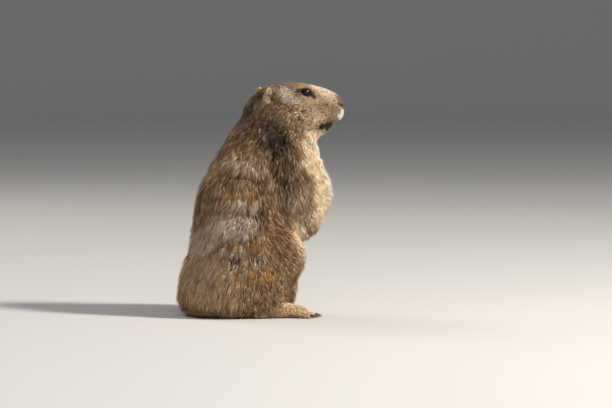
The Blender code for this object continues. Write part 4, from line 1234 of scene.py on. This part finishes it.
def makeEyes():
    material = eyeLook()
    lidMaterial = leatherLook("lidSkin", (0.008, 0.006, 0.005, 1), (0.030, 0.022, 0.018, 1), 1500.0, 0.4)
    for word in ("left", "right"):
        points, faces = ball(eyeFrame(word)[0], (eyePlan["radius"],) * 3)
        mesh = newMesh("eyeball", points, faces)
        newPiece("eye" + word.capitalize(), mesh, material, [f"eye_{word}"])
        rings = [lidRing(word, *row) for row in lids["profile"]]
        count = lids["steps"]
        step = np.arange(count)
        after = (step + 1) % count
        band = np.stack([step, after, after + count, step + count], 1)
        quads = np.concatenate([band + ring * count for ring in range(len(rings) - 1)])
        points = np.array([point for ring in rings for point in ring])
        corner = points[quads[0, 0]]
        facing = np.cross(points[quads[0, 1]] - corner, points[quads[0, 3]] - corner)
        if facing @ np.array(eyeFrame(word)[3]) < 0:
            quads = quads[:, ::-1]
        item = placed("lidCage", newMesh("lidCage", points, quads))
        thick = item.modifiers.new("thick", "SOLIDIFY")
        thick.thickness = lids["thickness"]
        thick.offset = -1
        mesh = baked(item)
        addAttribute(mesh, "hollowShade", "FLOAT", np.zeros(len(mesh.vertices)))
        newPiece("lids" + word.capitalize(), mesh, lidMaterial)


def nostrilDent(turn, rise):
    # A comma: round in front, with a tail that runs up and back.
    plan = nosePad["nostril"]
    dent = np.zeros(len(turn))
    for side in (1, -1):
        lean = math.radians(plan["tilt"])
        x, y = turn * side - plan["turn"], rise - plan["rise"]
        along = x * math.cos(lean) + y * math.sin(lean)
        over = y * math.cos(lean) - x * math.sin(lean) - (along / plan["length"]) ** 2 * plan["bow"]
        height = plan["height"] * (1 - plan["taper"] * np.clip(along / plan["length"], -1, 1))
        reach = (along / plan["length"]) ** 2 + (over / height) ** 2
        dent = np.maximum(dent, np.exp(-reach ** plan["power"] * plan["fade"]))
    return dent


def makeNose():
    plan = nosePad
    centre = headPlace(*plan["centre"])
    turnHead = headTurn.to_3x3()
    reach = np.concatenate([np.linspace(0, 1, plan["rings"]), [plan["outside"]]])
    spin = 2 * math.pi * np.arange(plan["sides"]) / plan["sides"]
    far, around = np.meshgrid(reach[1:], spin, indexing="ij")
    rise = far * np.sin(around) * plan["halfRise"]
    turn = far * np.cos(around) * plan["halfTurn"] * padNarrow(rise)
    far, turn, rise = (np.concatenate([[0], part.ravel()]) for part in (far, turn, rise))
    dent = nostrilDent(turn, rise)
    middle = plan["cleft"]
    cleftShare = np.exp(-(turn / middle["halfTurn"]) ** 2) * smoothStep(-rise, middle["from"], middle["to"])
    lift = plan["rise"] * (1 - smoothStep(far, *plan["riseEdge"]))
    lift = lift - plan["sink"] * smoothStep(far, *plan["sinkEdge"])
    lift = lift - plan["nostril"]["depth"] * dent - middle["depth"] * cleftShare
    points = []
    for angle, high, over in zip(np.radians(turn), np.radians(rise + plan["midRise"]), lift):
        level = math.cos(high)
        aim = turnHead @ Vector((level * math.cos(angle), level * math.sin(angle), math.sin(high)))
        hit = skinTree.ray_cast(centre + aim * plan["lookFrom"], -aim)[0]
        points.append(hit + aim * over)
    sides = plan["sides"]
    step = np.arange(sides)
    after = (step + 1) % sides
    faces = [np.stack([np.zeros(sides, int), 1 + step, 1 + after], 1)]
    for ring in range(len(reach) - 2):
        a, b = 1 + ring * sides + step, 1 + ring * sides + after
        faces += [np.stack([a, a + sides, b + sides], 1), np.stack([a, b + sides, b], 1)]
    end = 1 + (len(reach) - 2) * sides
    faces.append(np.stack([np.full(sides, len(points)), end + after, end + step], 1))
    points.append(centre)
    mesh = newMesh("nosePad", np.array(points), np.concatenate(faces))
    # The nostrils and the cleft are blackened as painted shade.
    hollowShade = smoothStep(dent, *plan["nostril"]["hollowShade"]) + cleftShare * middle["hollowShade"]
    addAttribute(mesh, "hollowShade", "FLOAT", np.append(np.clip(hollowShade, 0, 1), 0))
    material = leatherLook("noseSkin", (0.036, 0.028, 0.023, 1), (0.110, 0.086, 0.068, 1), 1500.0, 0.7)
    newPiece("nosePad", mesh, material, ["nose"])


claw = {
    "rings": 10, "sides": 12, "radius": 0.00175, "rootSink": 0.0030, "hook": 0.10,
    "taper": 0.94, "taperPower": 1.5,
    "endParts": (25, 75), "rootPart": 20,  # percent of the claw's length
}


def clawLook():
    look = Look("horn", Roughness=0.35, Specular_IOR_Level=0.5)
    place = look.out(look.add("ShaderNodeTexCoord"), 3)
    stretch = look.add("ShaderNodeMapping", sockets={0: place, "Scale": (300.0, 1600.0, 1600.0)})
    grain = look.noise(look.out(stretch), 1.0, 3.0)
    colour = look.mix(grain, (0.012, 0.009, 0.007, 1), (0.060, 0.045, 0.034, 1))
    return look.finish(Base_Color=colour, Normal=look.bump(0.3, 0.0002, grain))


def clawLine(points):
    # The root and the tip of a claw, from the solid that it stands for.
    middle = points.mean(0)
    axis, across = np.linalg.svd(points - middle)[2][:2]
    along = (points - middle) @ axis
    low, high = np.percentile(along, claw["endParts"])
    ends = [points[along > high], points[along < low]]
    if np.ptp(ends[0] @ across) > np.ptp(ends[1] @ across):  # the narrow end is the tip
        axis, along = -axis, -along
    return points[along < np.percentile(along, claw["rootPart"])].mean(0), points[along.argmax()]


def makeClaws():
    names = sorted(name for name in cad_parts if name.startswith("claw_"))
    shells = []
    for name in names:
        base, tip = clawLine(meshArrays(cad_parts[name].data)[0])
        aim = unit(tip - base)
        start = base - aim * claw["rootSink"]
        side = unit(np.cross(aim, (0, 0, 1)))
        share = np.linspace(0, 1, claw["rings"])
        bow = np.cross(side, aim) * claw["hook"] * np.linalg.norm(tip - start)
        line = start + (tip - start) * share[:, None] + bow * (4 * share * (1 - share))[:, None]
        thin = 1 - claw["taper"] * share ** claw["taperPower"]
        shells.append(tube(line, claw["radius"] * thin, claw["sides"]))
    points, faces = joined(shells)
    points[:, 2] = np.maximum(points[:, 2], 0.0)
    newPiece("claws", newMesh("claws", points, faces), clawLook(), names)


makeEyes()
makeNose()
makeClaws()
print("eyes, nose and claws made")


# Whiskers

whiskers = {
    "seed": 9, "perSide": 16, "inColumn": 4, "first": (0.0975, 0.03, 0.0150), "columnStep": 0.0052,
    "rowStep": 0.0038, "columnDrop": 0.0006, "sides": 5, "rings": 8, "radius": 0.00013, "taper": 0.85,
    "length": (0.016, 0.030), "shortest": 0.75, "longerBack": 0.12,
    "aim": (-0.75, 0.72, 0.10), "rowAim": 0.12, "stray": 0.1, "bend": 1.6, "firstBend": 0.35, "rootSink": 0.0006, "sag": 0.0045,
}


def makeWhiskers():
    plan = whiskers
    draw = np.random.default_rng(plan["seed"])
    turn = headTurn.to_3x3()
    share = np.linspace(0, 1, plan["rings"])
    bend = np.minimum(share * plan["bend"] + plan["firstBend"], 1)[:, None]
    x, y, z = plan["first"]
    back, out, up = plan["aim"]
    shells = []
    for side in (1, -1):
        for index in range(plan["perSide"]):
            row, column = index % plan["inColumn"], index // plan["inColumn"]
            high = z - row * plan["rowStep"] - column * plan["columnDrop"]
            place = headPlace(x - column * plan["columnStep"], side * y, high)
            root, facing = skinTree.ray_cast(place, turn @ Vector((0, -side, 0)))[:2]
            length = draw.uniform(*plan["length"]) * (plan["shortest"] + plan["longerBack"] * column)
            rise = up - plan["rowAim"] * row + draw.uniform(-plan["stray"], plan["stray"])
            aim = turn @ Vector((back, side * out, rise))
            leave = unit(np.array(facing) * (1 - bend) + np.array(aim.normalized()) * bend)
            line = np.array(root - facing * plan["rootSink"]) + leave * (length * share)[:, None]
            line[:, 2] -= plan["sag"] * share ** 2
            shells.append(tube(line, plan["radius"] * (1 - plan["taper"] * share), plan["sides"]))
    look = Look("whisker", Base_Color=(0.020, 0.015, 0.012, 1), Roughness=0.4)
    newPiece("whiskers", newMesh("whiskers", *joined(shells)), look.material)


makeWhiskers()
print("whiskers made")
